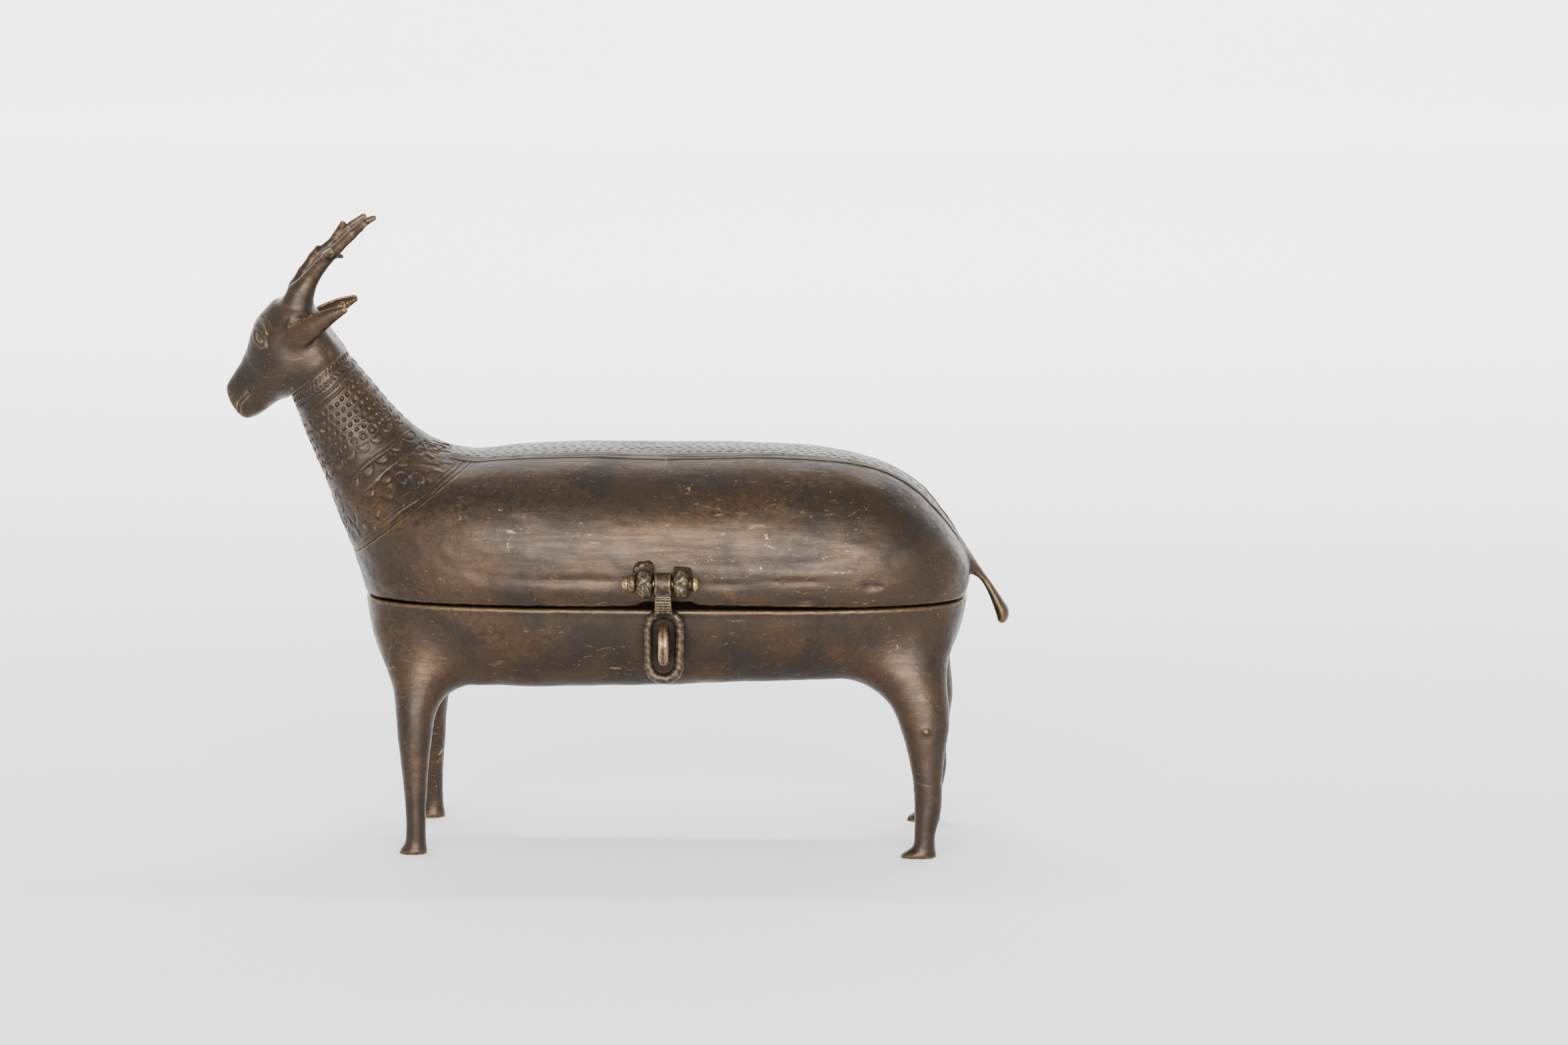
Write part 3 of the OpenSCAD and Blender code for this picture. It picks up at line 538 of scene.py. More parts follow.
def ornament(s, c, length):
    """Relief in millimetres over the neck at place s along it and c around it from the nape, where the way around is
    length: rings of lines, dots, scallops, herringbone, flowers and leaves."""
    h = np.zeros_like(c)
    side = np.abs(c)
    off_nape = smooth(6.2, 7.4, side)
    sway = 0.45 * np.sin(c / 7.0 + s / 9.0) + 0.25 * np.sin(c / 3.1 + 2)
    t = s + sway
    for level in (59.2, 51.6, 49.3, 27.6, 21.4, 19.9, 13.8):
        h += chased(t - level, LINE, 0.42) * off_nape
    h += chased(t + 1.4, 0.5, 0.5) + chased(t - 0.2, 0.35, 0.3)
    for level, angle, shift in ((57.1, 0.62, 0.0), (54.2, -0.55, 0.4)):
        h += stroke(along(c, length, 2.5, shift), t - level, 1.25, 0.5, angle, 0.6) * off_nape
    for k, level in enumerate((46.4, 43.2, 40.0, 36.8, 33.7)):
        u = along(c, length, 3.3, 0.5 * (k % 2) + 0.13 * k)
        v = t - level - 0.3 * np.sin(c * 0.9 + k)
        r = (np.abs(u / 0.85) ** 3 + np.abs(v / 0.62) ** 3) ** (1 / 3)
        h += (-0.55 * hump(r, 1.0, 6) + 0.16 * hump(r - 1.5, 0.45)) * off_nape
    u, v = along(c, length, 4.6, 0.2), t - 30.4
    r = np.hypot(u, v * 1.1)
    h += (-0.55 * hump(r - 1.25, 0.42) + 0.15 * hump(r, 0.8)) * off_nape
    for level, period, radius, shift in ((27.6, 6.3, 2.75, 0.1), (19.9, 6.6, 2.9, 0.35), (13.8, 7.0, 2.8, 0.6)):
        u, v = along(c, length, period, shift), t - level
        h += chased(np.hypot(u, v * 0.95) - radius, LINE, 0.45) * (v < 0) * off_nape
        h += 0.14 * hump(np.hypot(u, v + 1.0), 1.8, 4) * (v < 0) * off_nape
    u, v = along(c, length, 14.5, 0.5), t - 6.6
    for k in range(4):
        a = math.pi / 4 + k * math.pi / 2
        h += chased(np.hypot(u - 2.5 * math.cos(a), v - 2.5 * math.sin(a)) - 2.2, 0.36, 0.42) * (np.hypot(u, v) < 5.4)
    h -= 0.35 * hump(np.hypot(u, v), 0.8)
    u = along(c, length, 14.5, 0.0)
    for shift in (-1.9, 1.9):
        h += stroke(u - shift, v - 1.0, 2.3, 0.75, 1.15 * np.sign(shift), 0.6)
    h += stroke(u, v + 1.8, 1.7, 0.7, math.pi / 2, 0.55)
    for k, level in enumerate((2.4, 5.0, 8.0, 11.0)):
        near_nape = smooth(34 - 5 * k, 28 - 5 * k, side) if k else 1.0
        u = along(c, length, 3.9, 0.5 * (k % 2))
        v = t - level
        leaf = np.clip(1 - np.abs(u) / (0.35 + 0.5 * np.clip(v + 1.4, 0, 3)), 0, 1) * (np.abs(v) < 1.5)
        h += (0.5 * np.sqrt(leaf) - 0.28 * (np.abs(v) < 1.6)) * near_nape * (1.0 if k else 0.9)
    rung = s - 25.6
    ladder = (side < 6.6) * (s > 24.5)
    step = rung - 4.4 * np.round(rung / 4.4)
    h += chased(step, 0.38, 0.5) * ladder
    v = rung - 4.4 * np.floor(rung / 4.4)
    arc = np.hypot(side - 3.3, v * 0.9) - 2.6
    h += chased(arc, 0.36, 0.38) * ladder
    h += chased(np.hypot(side - 3.3, v - 1.2) - 0.2, 0.55, 0.35) * ladder * (np.floor(rung / 4.4) % 2 > 0.5)
    fade = smooth(-2.4, -1.2, s) * smooth(60.3, 59.9, s)
    tired = 0.7 + 0.3 * np.sin(c / 5.3 + s / 4.1) * np.sin(s / 7.7 + 1)
    return h * fade * tired


def neck_skin(rows, around, inset, chasing):
    """Grid of points on the lid's surface around the neck, and its relief: in each plane across the neck, rays leave
    its middle line and are halved until they meet the surface, and the ornament moves the points along the rays."""
    s = np.linspace(NECK_FOOT, NECK_TOP, rows)[:, None]
    a = np.linspace(-math.pi, math.pi, around, endpoint=False)[None, :]
    front, nape, half = course(NECK, s)
    mid = (front + nape) / 2
    low, high = np.zeros((rows, around)), np.full((rows, around), 60.0)

    def place(r):
        q = mid + r * np.cos(a)
        return (NECK_ROOT[0] + s * NECK_ALONG[0] + q * NECK_ACROSS[0], r * np.sin(a),
                NECK_ROOT[1] + s * NECK_ALONG[1] + q * NECK_ACROSS[1])

    for _ in range(24):
        r = (low + high) / 2
        outside = lid_form(*place(r)) > 0
        low, high = np.where(outside, low, r), np.where(outside, r, high)
    u, v = low * np.cos(a), low * np.sin(a)
    step = np.hypot(np.diff(u, axis=1, append=u[:, :1]), np.diff(v, axis=1, append=v[:, :1]))
    c = np.cumsum(step, axis=1) - step
    c = c - c[:, around // 2][:, None]
    lift = ornament(s + 0 * c, c, step.sum(1)[:, None]) if chasing else np.zeros_like(c)
    return np.stack(np.broadcast_arrays(*place(low - inset + lift)), axis=2), lift


def lattice_faces(rows, around):
    """Faces of a grid that closes around, with rows rings."""
    i, j = np.meshgrid(np.arange(rows - 1), np.arange(around), indexing="ij")
    k = (j + 1) % around
    return np.stack([i * around + j, i * around + k, (i + 1) * around + k, (i + 1) * around + j], axis=2).reshape(-1, 4)


NECK_RINGS = 192
NECK_ROUND = 460
LINING_RINGS = 9
outer, lift = neck_skin(NECK_RINGS, NECK_ROUND, 0.0, True)
inner, flat = neck_skin(LINING_RINGS, NECK_ROUND, 4.0, False)
points = np.concatenate([outer, inner[::-1], outer[:1]]).reshape(-1, 3)
lift = np.concatenate([lift, flat, lift[:1]])
relief = np.clip(0.56 + 0.95 * lift + 0.16 * (lift < -0.02), 0, 1)
faces = lattice_faces(NECK_RINGS + LINING_RINGS + 1, NECK_ROUND).tolist()
make_piece("neck_chased", points, faces, "lid", "bronze_patina", ["neck"], relief.ravel())

# ---------------------------------------------------------------------------------------------
# Dorsal band
# A broad band down the middle of the back, chased into the same casting: rows of short punch marks
# between two pairs of lines, narrowing over the rump until it runs out as a ridge into the tail.

# Along the back, in millimetres of its length: foot of the ray, lean of the ray in degrees, half width.
BAND = [(0, -63, 0, 15), (18, -45, 0, 19.5), (60, -3, 0, 21.5), (110, 47, 0, 21), (138, 75, 0, 18.5),
        (152, 75, 16, 16.5), (166, 75, 32, 14), (180, 75, 47, 12), (192, 75, 60, 9.5), (202, 75, 71, 6.5),
        (206, 75, 75, 5.2)]
BAND_END = BAND[-1][0]
BAND_FLOOR = 98.0
BAND_ROWS = 470
BAND_ACROSS = 104
BAND_UNDER = 10


def on_back(length, across, sink):
    """Points of the lid's surface over the back, lowered by sink: rays leave a line inside the lid, lean back over the
    rump, and are halved until they meet the surface."""
    foot, lean, half = course(BAND, length)
    lean = np.radians(lean)
    y = across * half
    low, high = np.full(y.shape, 1.0), np.full(y.shape, 80.0)

    def place(r):
        return foot + r * np.sin(lean), y, BAND_FLOOR + r * np.cos(lean)

    for _ in range(22):
        r = (low + high) / 2
        outside = lid_form(*place(r)) > 0
        low, high = np.where(outside, low, r), np.where(outside, r, high)
    return np.stack(place(low - sink), axis=2), y, half


def band_relief(length, y, half):
    """Relief of the band in millimetres: raised a little, two lines inside each edge, and staggered rows of dashes."""
    edge = half - np.abs(y)
    h = 0.22 * smooth(0.0, 1.6, edge) + 0.28 * hump(edge - 1.6, 0.8) * smooth(120, 180, length)
    h += (chased(edge - 2.5 - 0.3 * np.sin(length / 9), 0.34, 0.22)
          + chased(edge - 3.9 - 0.3 * np.sin(length / 7), 0.34, 0.2))
    row = np.round(np.abs(y) / 2.9)
    u = length + 1.9 * (row % 2) + 0.9 * np.sin(row * 5.0) + 0.5 * np.sin(length / 11 + row)
    u = u - 3.9 * np.round(u / 3.9)
    v = np.abs(y) - 2.9 * row + 0.25 * np.sin(length / 6 + row * 2)
    dash = (np.abs(u / 0.95) ** 3 + np.abs(v / 0.42) ** 3) ** (1 / 3)
    return h - 0.42 * np.exp(-(dash**4)) * (edge > 4.9) * (0.55 + 0.45 * np.sin(length / 17 + row) ** 2)


length = np.linspace(0, BAND_END, BAND_ROWS)[:, None]
top, y, half = on_back(*np.broadcast_arrays(length, np.linspace(-1, 1, BAND_ACROSS)), 0)
lift = band_relief(length, y, half) * smooth(0, 3, length) * smooth(BAND_END, BAND_END - 6, length)
ends = 1 - np.clip(np.minimum(length, BAND_END - length) / 0.9, 0, 1)
rims = 1 - np.clip((half - np.abs(y)) / 0.7, 0, 1)
sink = 0.9 * np.maximum(ends, rims) - 0.06
top = on_back(length, y / half, sink - lift)[0]
under = on_back(*np.broadcast_arrays(length, np.linspace(0.99, -0.99, BAND_UNDER)), 1.6)[0]
ring = np.concatenate([top, under], axis=1)
around = BAND_ACROSS + BAND_UNDER
points = np.concatenate([ring.reshape(-1, 3), ring[0].mean(0)[None], ring[-1].mean(0)[None]])
faces = lattice_faces(BAND_ROWS, around).tolist()
last = len(points) - 1
for k in range(around):
    n = (k + 1) % around
    faces.append([last - 1, n, k])
    faces.append([last, (BAND_ROWS - 1) * around + k, (BAND_ROWS - 1) * around + n])
relief = np.concatenate([np.clip(0.5 + 0.8 * (lift - 0.22), 0, 1), np.full((BAND_ROWS, BAND_UNDER), 0.5)], axis=1)
make_piece("dorsal_band", points, faces, "lid", "bronze_patina", [], np.append(relief.ravel(), [0.5, 0.5]))

# ---------------------------------------------------------------------------------------------
# Head, antlers and ears
# Modelled solid in wax on the end of the neck and cast with it: a lean muzzle with a cut mouth,
# almond eyes under raised brows, two short antlers with stub tines, and cupped leaf-shaped ears.

HEAD_BACK = (-111.3, 189.4)
HEAD_ALONG = (-0.84, -0.543)
HEAD_UP = (-0.543, 0.84)
# The head: place from the poll to the nose, jaw line, brow line, half width.
HEAD = [(-7, -8, 13, 8), (-3, -11, 18.4, 11.5), (1, -13, 22, 13.8), (6, -13.4, 24.4, 15), (12, -12.6, 23.2, 15),
        (17, -11.4, 21.4, 14.2), (21, -10.2, 18.4, 12.8), (25, -8.9, 14.8, 11), (29.5, -8.9, 11.7, 8.8),
        (35, -9.2, 9.1, 7.3), (39, -8.4, 7.2, 6.3), (42, -7.2, 5.6, 5.5), (46, -5, 4, 5)]
EYE = (17.8, 15.4)
BROW = (13.6, 18.6)
MOUTH = [(40.5, -3.8), (38.4, -1.2), (32.6, 0.1)]


def head_place(x, z):
    """Coordinates along and up the head of a place in the middle plane."""
    dx, dz = x - HEAD_BACK[0], z - HEAD_BACK[1]
    return dx * HEAD_ALONG[0] + dz * HEAD_ALONG[1], dx * HEAD_UP[0] + dz * HEAD_UP[1]


def to_line(u, v, line):
    """Distance of places from a broken line."""
    best = np.full(np.shape(u), 1e3)
    for (au, av), (bu, bv) in zip(line[:-1], line[1:]):
        du, dv = bu - au, bv - av
        t = np.clip(((u - au) * du + (v - av) * dv) / (du * du + dv * dv), 0, 1)
        best = np.minimum(best, np.hypot(u - au - t * du, v - av - t * dv))
    return best


def face_relief(t, u, y):
    """Height of the features on both cheeks in millimetres: eyeball, lids and brow stand up, mouth and nostril are
    cut."""
    e = np.hypot((t - EYE[0]) / 1.45, (u - EYE[1]) / 2.7)
    h = 0.5 * hump(e, 0.8, 4) - 0.35 * hump(e - 1.05, 0.2)
    h = h + (0.35 + 0.35 * smooth(0.5, -1.2, t - EYE[0])) * hump(e - 1.42, 0.22)
    bow = t - BROW[0] - 0.07 * (u - BROW[1]) ** 2
    h = h + 0.6 * hump(bow, 0.7) * smooth(4.2, 2.4, np.abs(u - BROW[1]))
    h = h - 0.45 * hump(bow + 1.5, 0.6) * smooth(4.0, 2.0, np.abs(u - BROW[1]))
    h = h * smooth(3.0, 6.0, np.abs(y))
    h = h - 0.85 * hump(to_line(t, u, MOUTH), 0.42)
    h = h - 0.45 * np.exp(-(((t - 32.4) / 0.8) ** 2) - ((u - 0.4) / 1.2) ** 2)
    h = h - 0.5 * np.exp(-(((t - 39.6) / 0.8) ** 2) - ((u - 3.4) / 0.6) ** 2) * smooth(1, 2.4, np.abs(y))
    return h - 0.35 * hump(to_line(t, u, [(0.5, -9), (-1.5, -3), (-3.5, 1)]), 0.9)


def skull(x, y, z):
    """Egg-shaped sections from the poll to a blunt nose, with the face's relief."""
    t, u = head_place(x, z)
    jaw, brow, half = course(HEAD, t)
    a = (brow - jaw) / 2
    up = (u - (brow + jaw) / 2) / a
    wide = half * (1 - 0.16 * up)
    r = (np.abs(up) ** 2.2 + np.abs(y / wide) ** 2.2) ** (1 / 2.2)
    f = (r - 1) * np.minimum(a, half) - face_relief(t, u, y)
    return cut(cut(f, t - 41.6 + 0.012 * (u + 2) ** 2, 2.0), -5 - t, 3)


def stem(x, y, z, rows, flat=1.0, k=0.3):
    """Round bar through the rows (x, y, z, radius): the nearest of its straight stretches, each a cone. Sideways it is
    flat times thinner."""
    best = np.full(np.shape(x), 1e3)
    for (ax, ay, az, ra), (bx, by, bz, rb) in zip(rows[:-1], rows[1:]):
        dx, dy, dz = bx - ax, by - ay, bz - az
        t = np.clip(((x - ax) * dx + (y - ay) * dy + (z - az) * dz) / (dx * dx + dy * dy + dz * dz), 0, 1)
        d = np.sqrt((x - ax - t * dx) ** 2 + ((y - ay - t * dy) / flat) ** 2 + (z - az - t * dz) ** 2)
        best = melt(best, (d - (ra + (rb - ra) * t)) * min(1, flat), k)
    return best


NEAR_BEAM = [(-120.4, -7.2, 204.6, 6.4), (-119.0, -7.5, 209.2, 5.3), (-115.5, -8.2, 214.7, 3.4),
             (-111.4, -9.5, 220.1, 2.6), (-106.1, -11, 225.6, 2.1), (-98.7, -12, 232.8, 1.9),
             (-93.1, -12.8, 237.8, 1.4), (-90.4, -13, 239.1, 1.1)]
FAR_BEAM = [(-121.6, 7.4, 205, 5.8), (-121.0, 8.4, 210.2, 4.3), (-119.2, 9.6, 215.6, 2.8), (-115.4, 11, 221.2, 2.4),
            (-109.9, 12.2, 225.8, 2.1), (-106.6, 12.8, 229.2, 1.9), (-101.2, 13.3, 233.8, 1.6),
            (-96.9, 13.5, 236.9, 1.2)]
TINES = [[(-108.6, -11, 224.4, 1.9), (-106.4, -14.4, 226.4, 1.2)],
         [(-96, -12.4, 235.3, 1.5), (-93.7, -14.8, 236.8, 0.9)],
         [(-107, -10.8, 225.2, 1.7), (-103, -9.2, 224.0, 0.8)], [(-116.2, 10.8, 221, 2.0), (-114.4, 12, 225, 1.0)],
         [(-107.3, 12.7, 228.8, 1.9), (-104.9, 13.5, 234.2, 1.1)]]
EAR_ROOT = np.array((-121.0, 12.8, 194.6))
EAR_TIP = np.array((-100.4, 19.0, 204.9))
# The ear from root to tip: lower edge, upper edge and half thickness of the cup.
EAR = [(-4, -4, 2.5, 2.0), (-1, -6, 4.2, 2.8), (1.5, -6.3, 5.0, 3.2), (6.8, -5.3, 5.0, 3.4), (10.4, -4.4, 4.8, 3.3),
       (16.4, -2.6, 3.7, 2.7), (19.2, -2.0, 3.1, 2.3), (22.2, -1.4, 2.2, 1.8), (25, -0.9, 1.2, 1.4)]


def ear(x, y, z):
    """Cupped leaf on each side: an elliptic bar with a smaller one taken out of its upper side."""
    along_ear = (EAR_TIP - EAR_ROOT) / np.linalg.norm(EAR_TIP - EAR_ROOT)
    outward = np.cross(along_ear, (-0.42, -0.24, 0.88))
    outward = outward / np.linalg.norm(outward) * np.sign(outward[1])
    upward = np.cross(outward, along_ear)
    upward = upward * np.sign(upward[2])
    d = np.stack([x - EAR_ROOT[0], np.abs(y) - EAR_ROOT[1], z - EAR_ROOT[2]])
    s, w, v = (np.tensordot(axis, d, 1) for axis in (along_ear, upward, outward))
    low_edge, top_edge, thick = course(EAR, s)
    mid, half = (low_edge + top_edge) / 2, (top_edge - low_edge) / 2
    leaf = (np.sqrt(((w - mid) / half) ** 2 + (v / thick) ** 2) - 1) * np.minimum(half, thick)
    hollow = np.maximum(thick - 1.0, 0.3)
    scoop = (np.sqrt(((w - mid - 0.42 * half) / (half * 1.02)) ** 2 + ((v + 0.5) / hollow) ** 2) - 1) * hollow
    return cut(cut(cut(leaf, -scoop, 0.5), s - 24.6, 1.4), -4.0 - s, 1)


def head_form(x, y, z):
    """Skull, neck, antlers and ears melted into one, ended a little below the top of the neck's ornament."""
    s, q = neck_place(x, z)
    throat = cut(neck(x, y, z, 0) + 0.35 * smooth(62.0, 59.0, s), s - 68, 8)
    f = melt(skull(x, y, z), throat, 3.0)
    f = melt(f, stem(x, y, z, NEAR_BEAM, 0.8), 3.0)
    f = melt(f, stem(x, y, z, FAR_BEAM, 0.8), 3.0)
    for tine in TINES:
        f = melt(f, stem(x, y, z, tine), 0.9)
    f = melt(f, ear(x, y, z), 1.4) + 0.1 * hand_work(x, y, z, 14)
    ticks = hump(s - 61.5, 0.35) + hump(s - 65.6, 0.35)
    f = f + 0.4 * ticks * smooth(5.5, 4.5, np.abs(y)) * smooth(28, 30, q)
    return cut(f, 58.6 - s, 0.4)


HEAD_STEP = 0.55

cast_piece("head_casting", head_form, (-153, -27, 160), (-88, 27, 243), HEAD_STEP, "lid", "bronze_patina",
           ["head", "antler_left", "antler_right", "ear_left", "ear_right"])

# ---------------------------------------------------------------------------------------------
# Hasp lugs and pin
# Two rough lumps of bronze brazed to the lid's side and drilled for a pin. The pin has a ball at
# one end, and at the other it is hammered over a loose collar.

HASP_X = 21.0
HASP_PIN = (-51.5, 106.1)
LUG_MID = 6.85
LUG_HALF = 3.25
# The faces beside the hasp are filed flat, this far from its middle, so that it swings freely.
FILED_FACE = 3.75


def block(x, y, z, mid, half, power=6.0):
    """Rounded block: a superellipsoid about mid with half sizes half."""
    r = sum(np.abs((p - m) / h) ** power for p, m, h in zip((x, y, z), mid, half)) ** (1 / power)
    return (r - 1) * min(half)


def lug(x, y, z, mid_x, tall):
    """Drilled lump: a barrel on the pin's line and a foot that runs into the lid, filed flat beside the hasp."""
    barrel = block(x, y, z, (mid_x, *HASP_PIN), (LUG_HALF, 5.1, 5.1), 3.0)
    foot = block(x, y, z, (mid_x - 0.6, HASP_PIN[0] + 4.6, HASP_PIN[1] + tall), (LUG_HALF + 0.7, 3.6, 5.2), 4.0)
    rough = melt(barrel, foot, 2.2) + 0.28 * hand_work(x, y, z, 8) + 0.1 * hand_work(z, x, y, 3.4)
    return cut(rough, FILED_FACE - np.abs(x - HASP_X), 0.3)


for tag, side, tall in (("fore", -1, 2.6), ("aft", 1, 0.6)):
    mid_x = HASP_X + side * LUG_MID
    cast_piece("hasp_lug_rough_" + tag, lambda x, y, z: lug(x, y, z, mid_x, tall), (mid_x - 6, -59, 98),
               (mid_x + 6, -41, 117), 0.42, "lid", "bronze_fittings", ["hasp_lug_" + tag])


def bolt(x, y, z, rows, pin):
    """Round bar along the body whose radius follows rows (place, radius)."""
    radius, = course(rows, x)
    d = np.hypot(y - pin[0], z - pin[1])
    return cut(d - radius, np.abs(x - (rows[0][0] + rows[-1][0]) / 2) - (rows[-1][0] - rows[0][0]) / 2, 0.3)


BALL = [(5.4, 1.5), (6.2, 2.1), (7.6, 2.3), (8.4, 1.7), (12, 1.6), (20, 1.6), (31.2, 1.6), (31.7, 2.2), (32.6, 2.85),
        (33.5, 2.75), (34.2, 2.0), (34.5, 1.2)]
COLLAR = [(7.7, 2.2), (8.2, 3.1), (9.3, 3.35), (10.3, 3.1), (10.9, 2.4)]
cast_piece("hasp_pin_turned", lambda x, y, z: bolt(x, y, z, BALL, HASP_PIN) + 0.08 * hand_work(x, y, z, 5),
           (4.4, -55.5, 102), (35.4, -47.5, 110), 0.33, "lid", "bronze_worn", ["hasp_pin"])
cast_piece("pin_collar_rough", lambda x, y, z: bolt(x, y, z, COLLAR, HASP_PIN) + 0.15 * hand_work(x, y, z, 5),
           (6.8, -55.9, 101.6), (11.9, -47.2, 110.5), 0.36, "lid", "bronze_fittings", ["pin_collar"])

# ---------------------------------------------------------------------------------------------
# Hasp
# One forging: a knuckle on the pin, a strap with three columns of short punch marks below a cross
# line, and a pear-shaped loop of round bar that hangs over the staple.

LOOP_Y = -48.2
STRAP_LINE = [(-52.6, 105), (-53.0, 101.5), (-52.6, 99.2), (-51.2, 97.2), (-49.6, 95.6), (-48.6, 93.8)]
STRAP_HALF = 1.45
LOOP = [(0, -0.4, 94.6, 1.9), (0.16, -3.4, 93.6, 1.9), (0.3, -5.4, 91.2, 1.75), (0.45, -6.0, 87.5, 1.7),
        (0.7, -5.9, 80, 1.65), (0.9, -5.8, 75.5, 1.75), (1.0, -4.9, 72.2, 1.85), (1.12, -2.8, 70.2, 1.9),
        (1.25, 0, 69.6, 2.0), (1.38, 2.8, 70.2, 2.0), (1.5, 5.0, 72.2, 2.0), (1.6, 5.8, 75.5, 1.95),
        (1.8, 5.9, 80, 1.9), (2.05, 6.0, 87.5, 1.95), (2.2, 5.6, 91.0, 2.0), (2.34, 3.8, 93.4, 2.05),
        (2.5, 0.4, 94.6, 1.95)]


def strap(x, y, z):
    """Bent strip that follows the strap's line from the knuckle to the loop, with punch marks on its front."""
    best = np.full(np.shape(x), 1e3)
    for (ay, az), (by, bz) in zip(STRAP_LINE[:-1], STRAP_LINE[1:]):
        dy, dz = by - ay, bz - az
        t = np.clip(((y - ay) * dy + (z - az) * dz) / (dy * dy + dz * dz), 0, 1)
        best = melt(best, np.hypot(y - ay - t * dy, z - az - t * dz), 0.6)
    half = 3.1 + 0.25 * smooth(100, 95, z)
    front = smooth(0.2, 0.8, np.abs(best) / STRAP_HALF) * (y < -48.4)
    row = z - 1.15 * np.round(z / 1.15)
    column = x - HASP_X - 2.0 * np.clip(np.round((x - HASP_X) / 2.0), -1, 1)
    marks = hump(row, 0.3) * hump(column, 0.72, 4)
    marks = marks * smooth(95.0, 95.6, z) * smooth(101.6, 101.0, z)
    line = hump(z - 102.2, 0.32)
    return cut(best - STRAP_HALF + (0.5 * marks + 0.5 * line) * front, np.abs(x - HASP_X) - half, 0.9)


def hasp_form(x, y, z):
    """Knuckle, strap and loop as one forging."""
    places = np.linspace(0, 2.5, 30)
    lx, lz, lr = course(LOOP, places)
    rows = np.stack([HASP_X + lx, LOOP_Y + 0 * lx, lz, lr], axis=1).tolist()
    knuckle = cut(np.hypot(y - HASP_PIN[0], z - HASP_PIN[1]) - 4.2, np.abs(x - HASP_X) - 3.2, 0.9)
    f = melt(melt(knuckle, strap(x, y, z), 0.8), stem(x, y, z, rows, 1.0, 0.05), 1.0)
    return f + 0.1 * hand_work(x, y, z, 7)


cast_piece("hasp_forged", hasp_form, (12, -57, 66), (30, -44.5, 111.5), 0.34, "hasp", "bronze_fittings", ["hasp"])

# ---------------------------------------------------------------------------------------------
# Staple
# A thick flat eye riveted into the trough's side, worn bright along its outer edge where the hasp
# has slid over it. A padlock's shackle goes through its hole.

STAPLE_MID = (-49.65, 82.8)
STAPLE_HALF_HIGH = 7.7
STAPLE_HALF_THICK = 1.95
EYE_HOLE = (-52.9, 82.8, 2.6)


def staple_form(x, y, z):
    """Flat plate with a round outer end and a drilled hole, its edges softened."""
    round_end = np.hypot(y - STAPLE_MID[0], z - STAPLE_MID[1]) - STAPLE_HALF_HIGH
    body = np.where(y > STAPLE_MID[0], np.abs(z - STAPLE_MID[1]) - STAPLE_HALF_HIGH, round_end)
    hole = EYE_HOLE[2] - np.hypot(y - EYE_HOLE[0], z - EYE_HOLE[1])
    plate = cut(cut(body, hole, 0.5), y + 43.2, 0.4)
    waist = STAPLE_HALF_THICK - 0.35 * smooth(86, 90, z) - 0.25 * smooth(78, 75, z)
    return cut(plate, np.abs(x - HASP_X - 0.15 * np.sin(z / 4)) - waist, 1.4) + 0.06 * hand_work(x, y, z, 6)


cast_piece("staple_worn", staple_form, (17.5, -58.5, 74), (24.5, -42.4, 91.6), 0.33, "box", "bronze_worn", ["staple"])

# ---------------------------------------------------------------------------------------------
# Hinges
# On the far side two forged straps are brazed down the trough, each ending in a knuckle that turns
# on a pin between two lugs of the lid. The pins are hammered over at both ends.

HINGE_PIN = (52.0, 95.75)
PEENED = [(-12.3, 1.4), (-11.6, 2.1), (-10.5, 2.25), (-10.0, 1.7), (0, 1.6), (10.0, 1.7), (10.5, 2.25), (11.6, 2.1),
          (12.3, 1.4)]


def hinge_strap(x, y, z, mid_x):
    """Strip that follows the trough's wall, bent out to a knuckle on the pin's line."""
    on_wall = cut(np.abs(boat(x, y, z, 0) - 0.9) - 1.6, np.abs(z - 85.5) - 9.0, 0.8)
    on_wall = cut(on_wall, 40 - y, 0.5)
    arm = block(x, y, z, (mid_x, 48.0, 93.0), (4.2, 5.0, 1.6), 4.0)
    knuckle = np.hypot(y - HINGE_PIN[0], z - HINGE_PIN[1]) - 4.2
    rivet = np.sqrt((x - mid_x) ** 2 + (y - 44.2) ** 2 + (z - 80.0) ** 2) - 2.4
    f = cut(melt(melt(on_wall, arm, 1.2), knuckle, 0.8), np.abs(x - mid_x) - 3.2, 0.8)
    return melt(f, rivet, 0.4) + 0.07 * hand_work(x, y, z, 6)


for tag, mid_x in (("fore", -25.5), ("aft", 64.5)):
    cast_piece("hinge_strap_forged_" + tag, lambda x, y, z: hinge_strap(x, y, z, mid_x), (mid_x - 4.6, 37, 74),
               (mid_x + 4.6, 57.4, 101.2), 0.45, "box", "bronze_fittings", ["hinge_strap_" + tag])
    for letter, side in (("a", -1), ("b", 1)):
        lug_x = mid_x + side * LUG_MID
        cast_piece("hinge_lug_rough_%s_%s" % (tag, letter),
                   lambda x, y, z: melt(block(x, y, z, (lug_x, *HINGE_PIN), (LUG_HALF, 5.1, 5.1), 3.0),
                                        block(x, y, z, (lug_x, 47.2, 99.0), (LUG_HALF, 4.4, 2.5), 4.0), 1.2)
                   + 0.16 * hand_work(x, y, z, 8), (lug_x - 4.6, 41, 88.5), (lug_x + 4.6, 58.6, 103),
                   0.45, "lid", "bronze_fittings", ["hinge_%s_lug_%s" % (tag, letter)])
    rows = [(mid_x + place, radius) for place, radius in PEENED]
    cast_piece("hinge_pin_peened_" + tag, lambda x, y, z: bolt(x, y, z, rows, HINGE_PIN), (mid_x - 13.4, 48, 92),
               (mid_x + 13.4, 56, 99.5), 0.4, "lid", "bronze_worn", ["hinge_%s_pin" % tag])

# ---------------------------------------------------------------------------------------------
# Table and studio
# A pale paper sweep that runs flat under the hooves and curves up behind, two large soft lights in
# front and above, and an even pale surround. None of it belongs to the object.

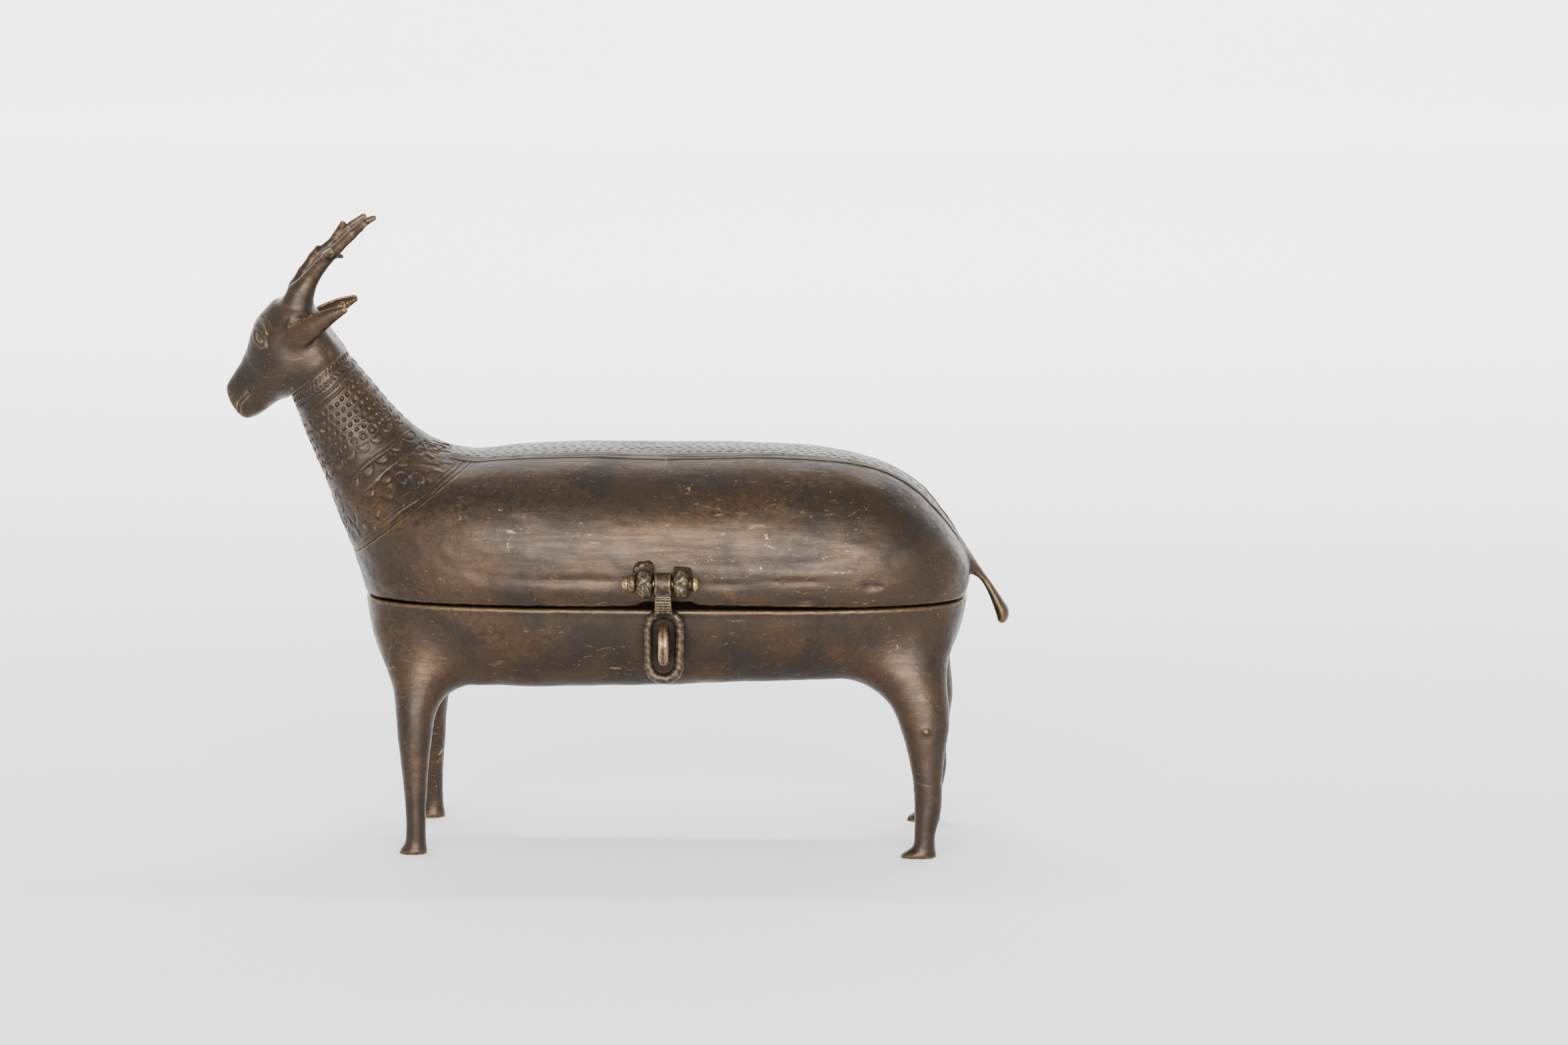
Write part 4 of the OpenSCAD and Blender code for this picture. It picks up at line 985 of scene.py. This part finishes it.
SWEEP_WIDTH = 4.2
SWEEP_ROWS = 90
SWEEP_LANES = 9
SWEEP_LINE = [(-4.2, 0.0), (-1.0, 0.0), (2.2, 0.0), (2.7, 0.05), (3.1, 0.22), (3.4, 0.55), (3.5, 1.0), (3.52, 3.0)]

at = np.linspace(0, 1, len(SWEEP_LINE))
run, rise = course([(k, *row) for k, row in zip(at, SWEEP_LINE)], np.linspace(0, 1, SWEEP_ROWS)[:, None])
across = np.linspace(-SWEEP_WIDTH, SWEEP_WIDTH, SWEEP_LANES)
grid = np.stack(np.broadcast_arrays(across, run, np.maximum(rise, 0)), 2)
i, j = np.meshgrid(np.arange(SWEEP_ROWS - 1), np.arange(SWEEP_LANES - 1), indexing="ij")
first = i * SWEEP_LANES + j
quads = np.stack([first, first + 1, first + SWEEP_LANES + 1, first + SWEEP_LANES], 2).reshape(-1, 4)
sweep_mesh = bpy.data.meshes.new("sweep")
sweep_mesh.from_pydata(grid.reshape(-1, 3).tolist(), [], quads.tolist())
sweep_mesh.polygons.foreach_set("use_smooth", np.ones(len(sweep_mesh.polygons), bool))
sweep = bpy.data.objects.new("sweep", sweep_mesh)
bpy.context.scene.collection.objects.link(sweep)
paper = bpy.data.materials.new("sweep_paper")
paper.use_nodes = True
for label, value in (("Base Color", (0.93, 0.93, 0.93, 1)), ("Roughness", 0.9), ("Specular IOR Level", 0.1)):
    paper.node_tree.nodes["Principled BSDF"].inputs[label].default_value = value
sweep_mesh.materials.append(paper)

HORIZON_STRENGTH = 2.1
ZENITH_STRENGTH = 0.75
world = bpy.data.worlds.new("studio")
bpy.context.scene.world = world
world.use_nodes = True
sky = Bench(world.node_tree)
direction = sky.node("SeparateXYZ")
sky.feed(direction.inputs[0], sky.node("TexCoord").outputs["Generated"])
fall = sky.span(direction.outputs["Z"], 0.3, 0.85, HORIZON_STRENGTH, ZENITH_STRENGTH)
sky.feed(world.node_tree.nodes["Background"].inputs["Strength"], fall)
world.node_tree.nodes["Background"].inputs["Color"].default_value = (0.97, 0.98, 1, 1)


def softbox(name, place, aim, size, watts):
    """Rectangular area light at place that faces aim, all in metres."""
    light = bpy.data.lights.new(name, "AREA")
    light.shape = "RECTANGLE"
    light.size, light.size_y = size
    light.energy = watts
    lamp = bpy.data.objects.new(name, light)
    bpy.context.scene.collection.objects.link(lamp)
    lamp.location = place
    lamp.rotation_euler = (Vector(aim) - Vector(place)).to_track_quat("-Z", "Y").to_euler()


softbox("front", (0.1, -2.3, 0.7), (0.02, 0, 0.1), (2.2, 0.9), 128)
softbox("above", (-0.3, -0.2, 1.9), (0, 0, 0.1), (1.6, 1.2), 4)
softbox("backdrop", (0, 1.3, 2.2), (0, 3.3, 0.3), (3.4, 0.8), 230)

camera_data = bpy.data.cameras.new("camera")
camera = bpy.data.objects.new("camera", camera_data)
bpy.context.scene.collection.objects.link(camera)
camera_data.lens = 162.9
camera_data.sensor_width = 36
aim = Vector((0.064, 0, 0.122))
distance, height_angle, turn = 2.7, math.radians(8.5), math.radians(-2.5)
camera.location = aim + distance * Vector((-math.sin(turn) * math.cos(height_angle),
                                               -math.cos(turn) * math.cos(height_angle), math.sin(height_angle)))
camera.rotation_euler = (aim - camera.location).to_track_quat("-Z", "Y").to_euler()
bpy.context.scene.camera = camera
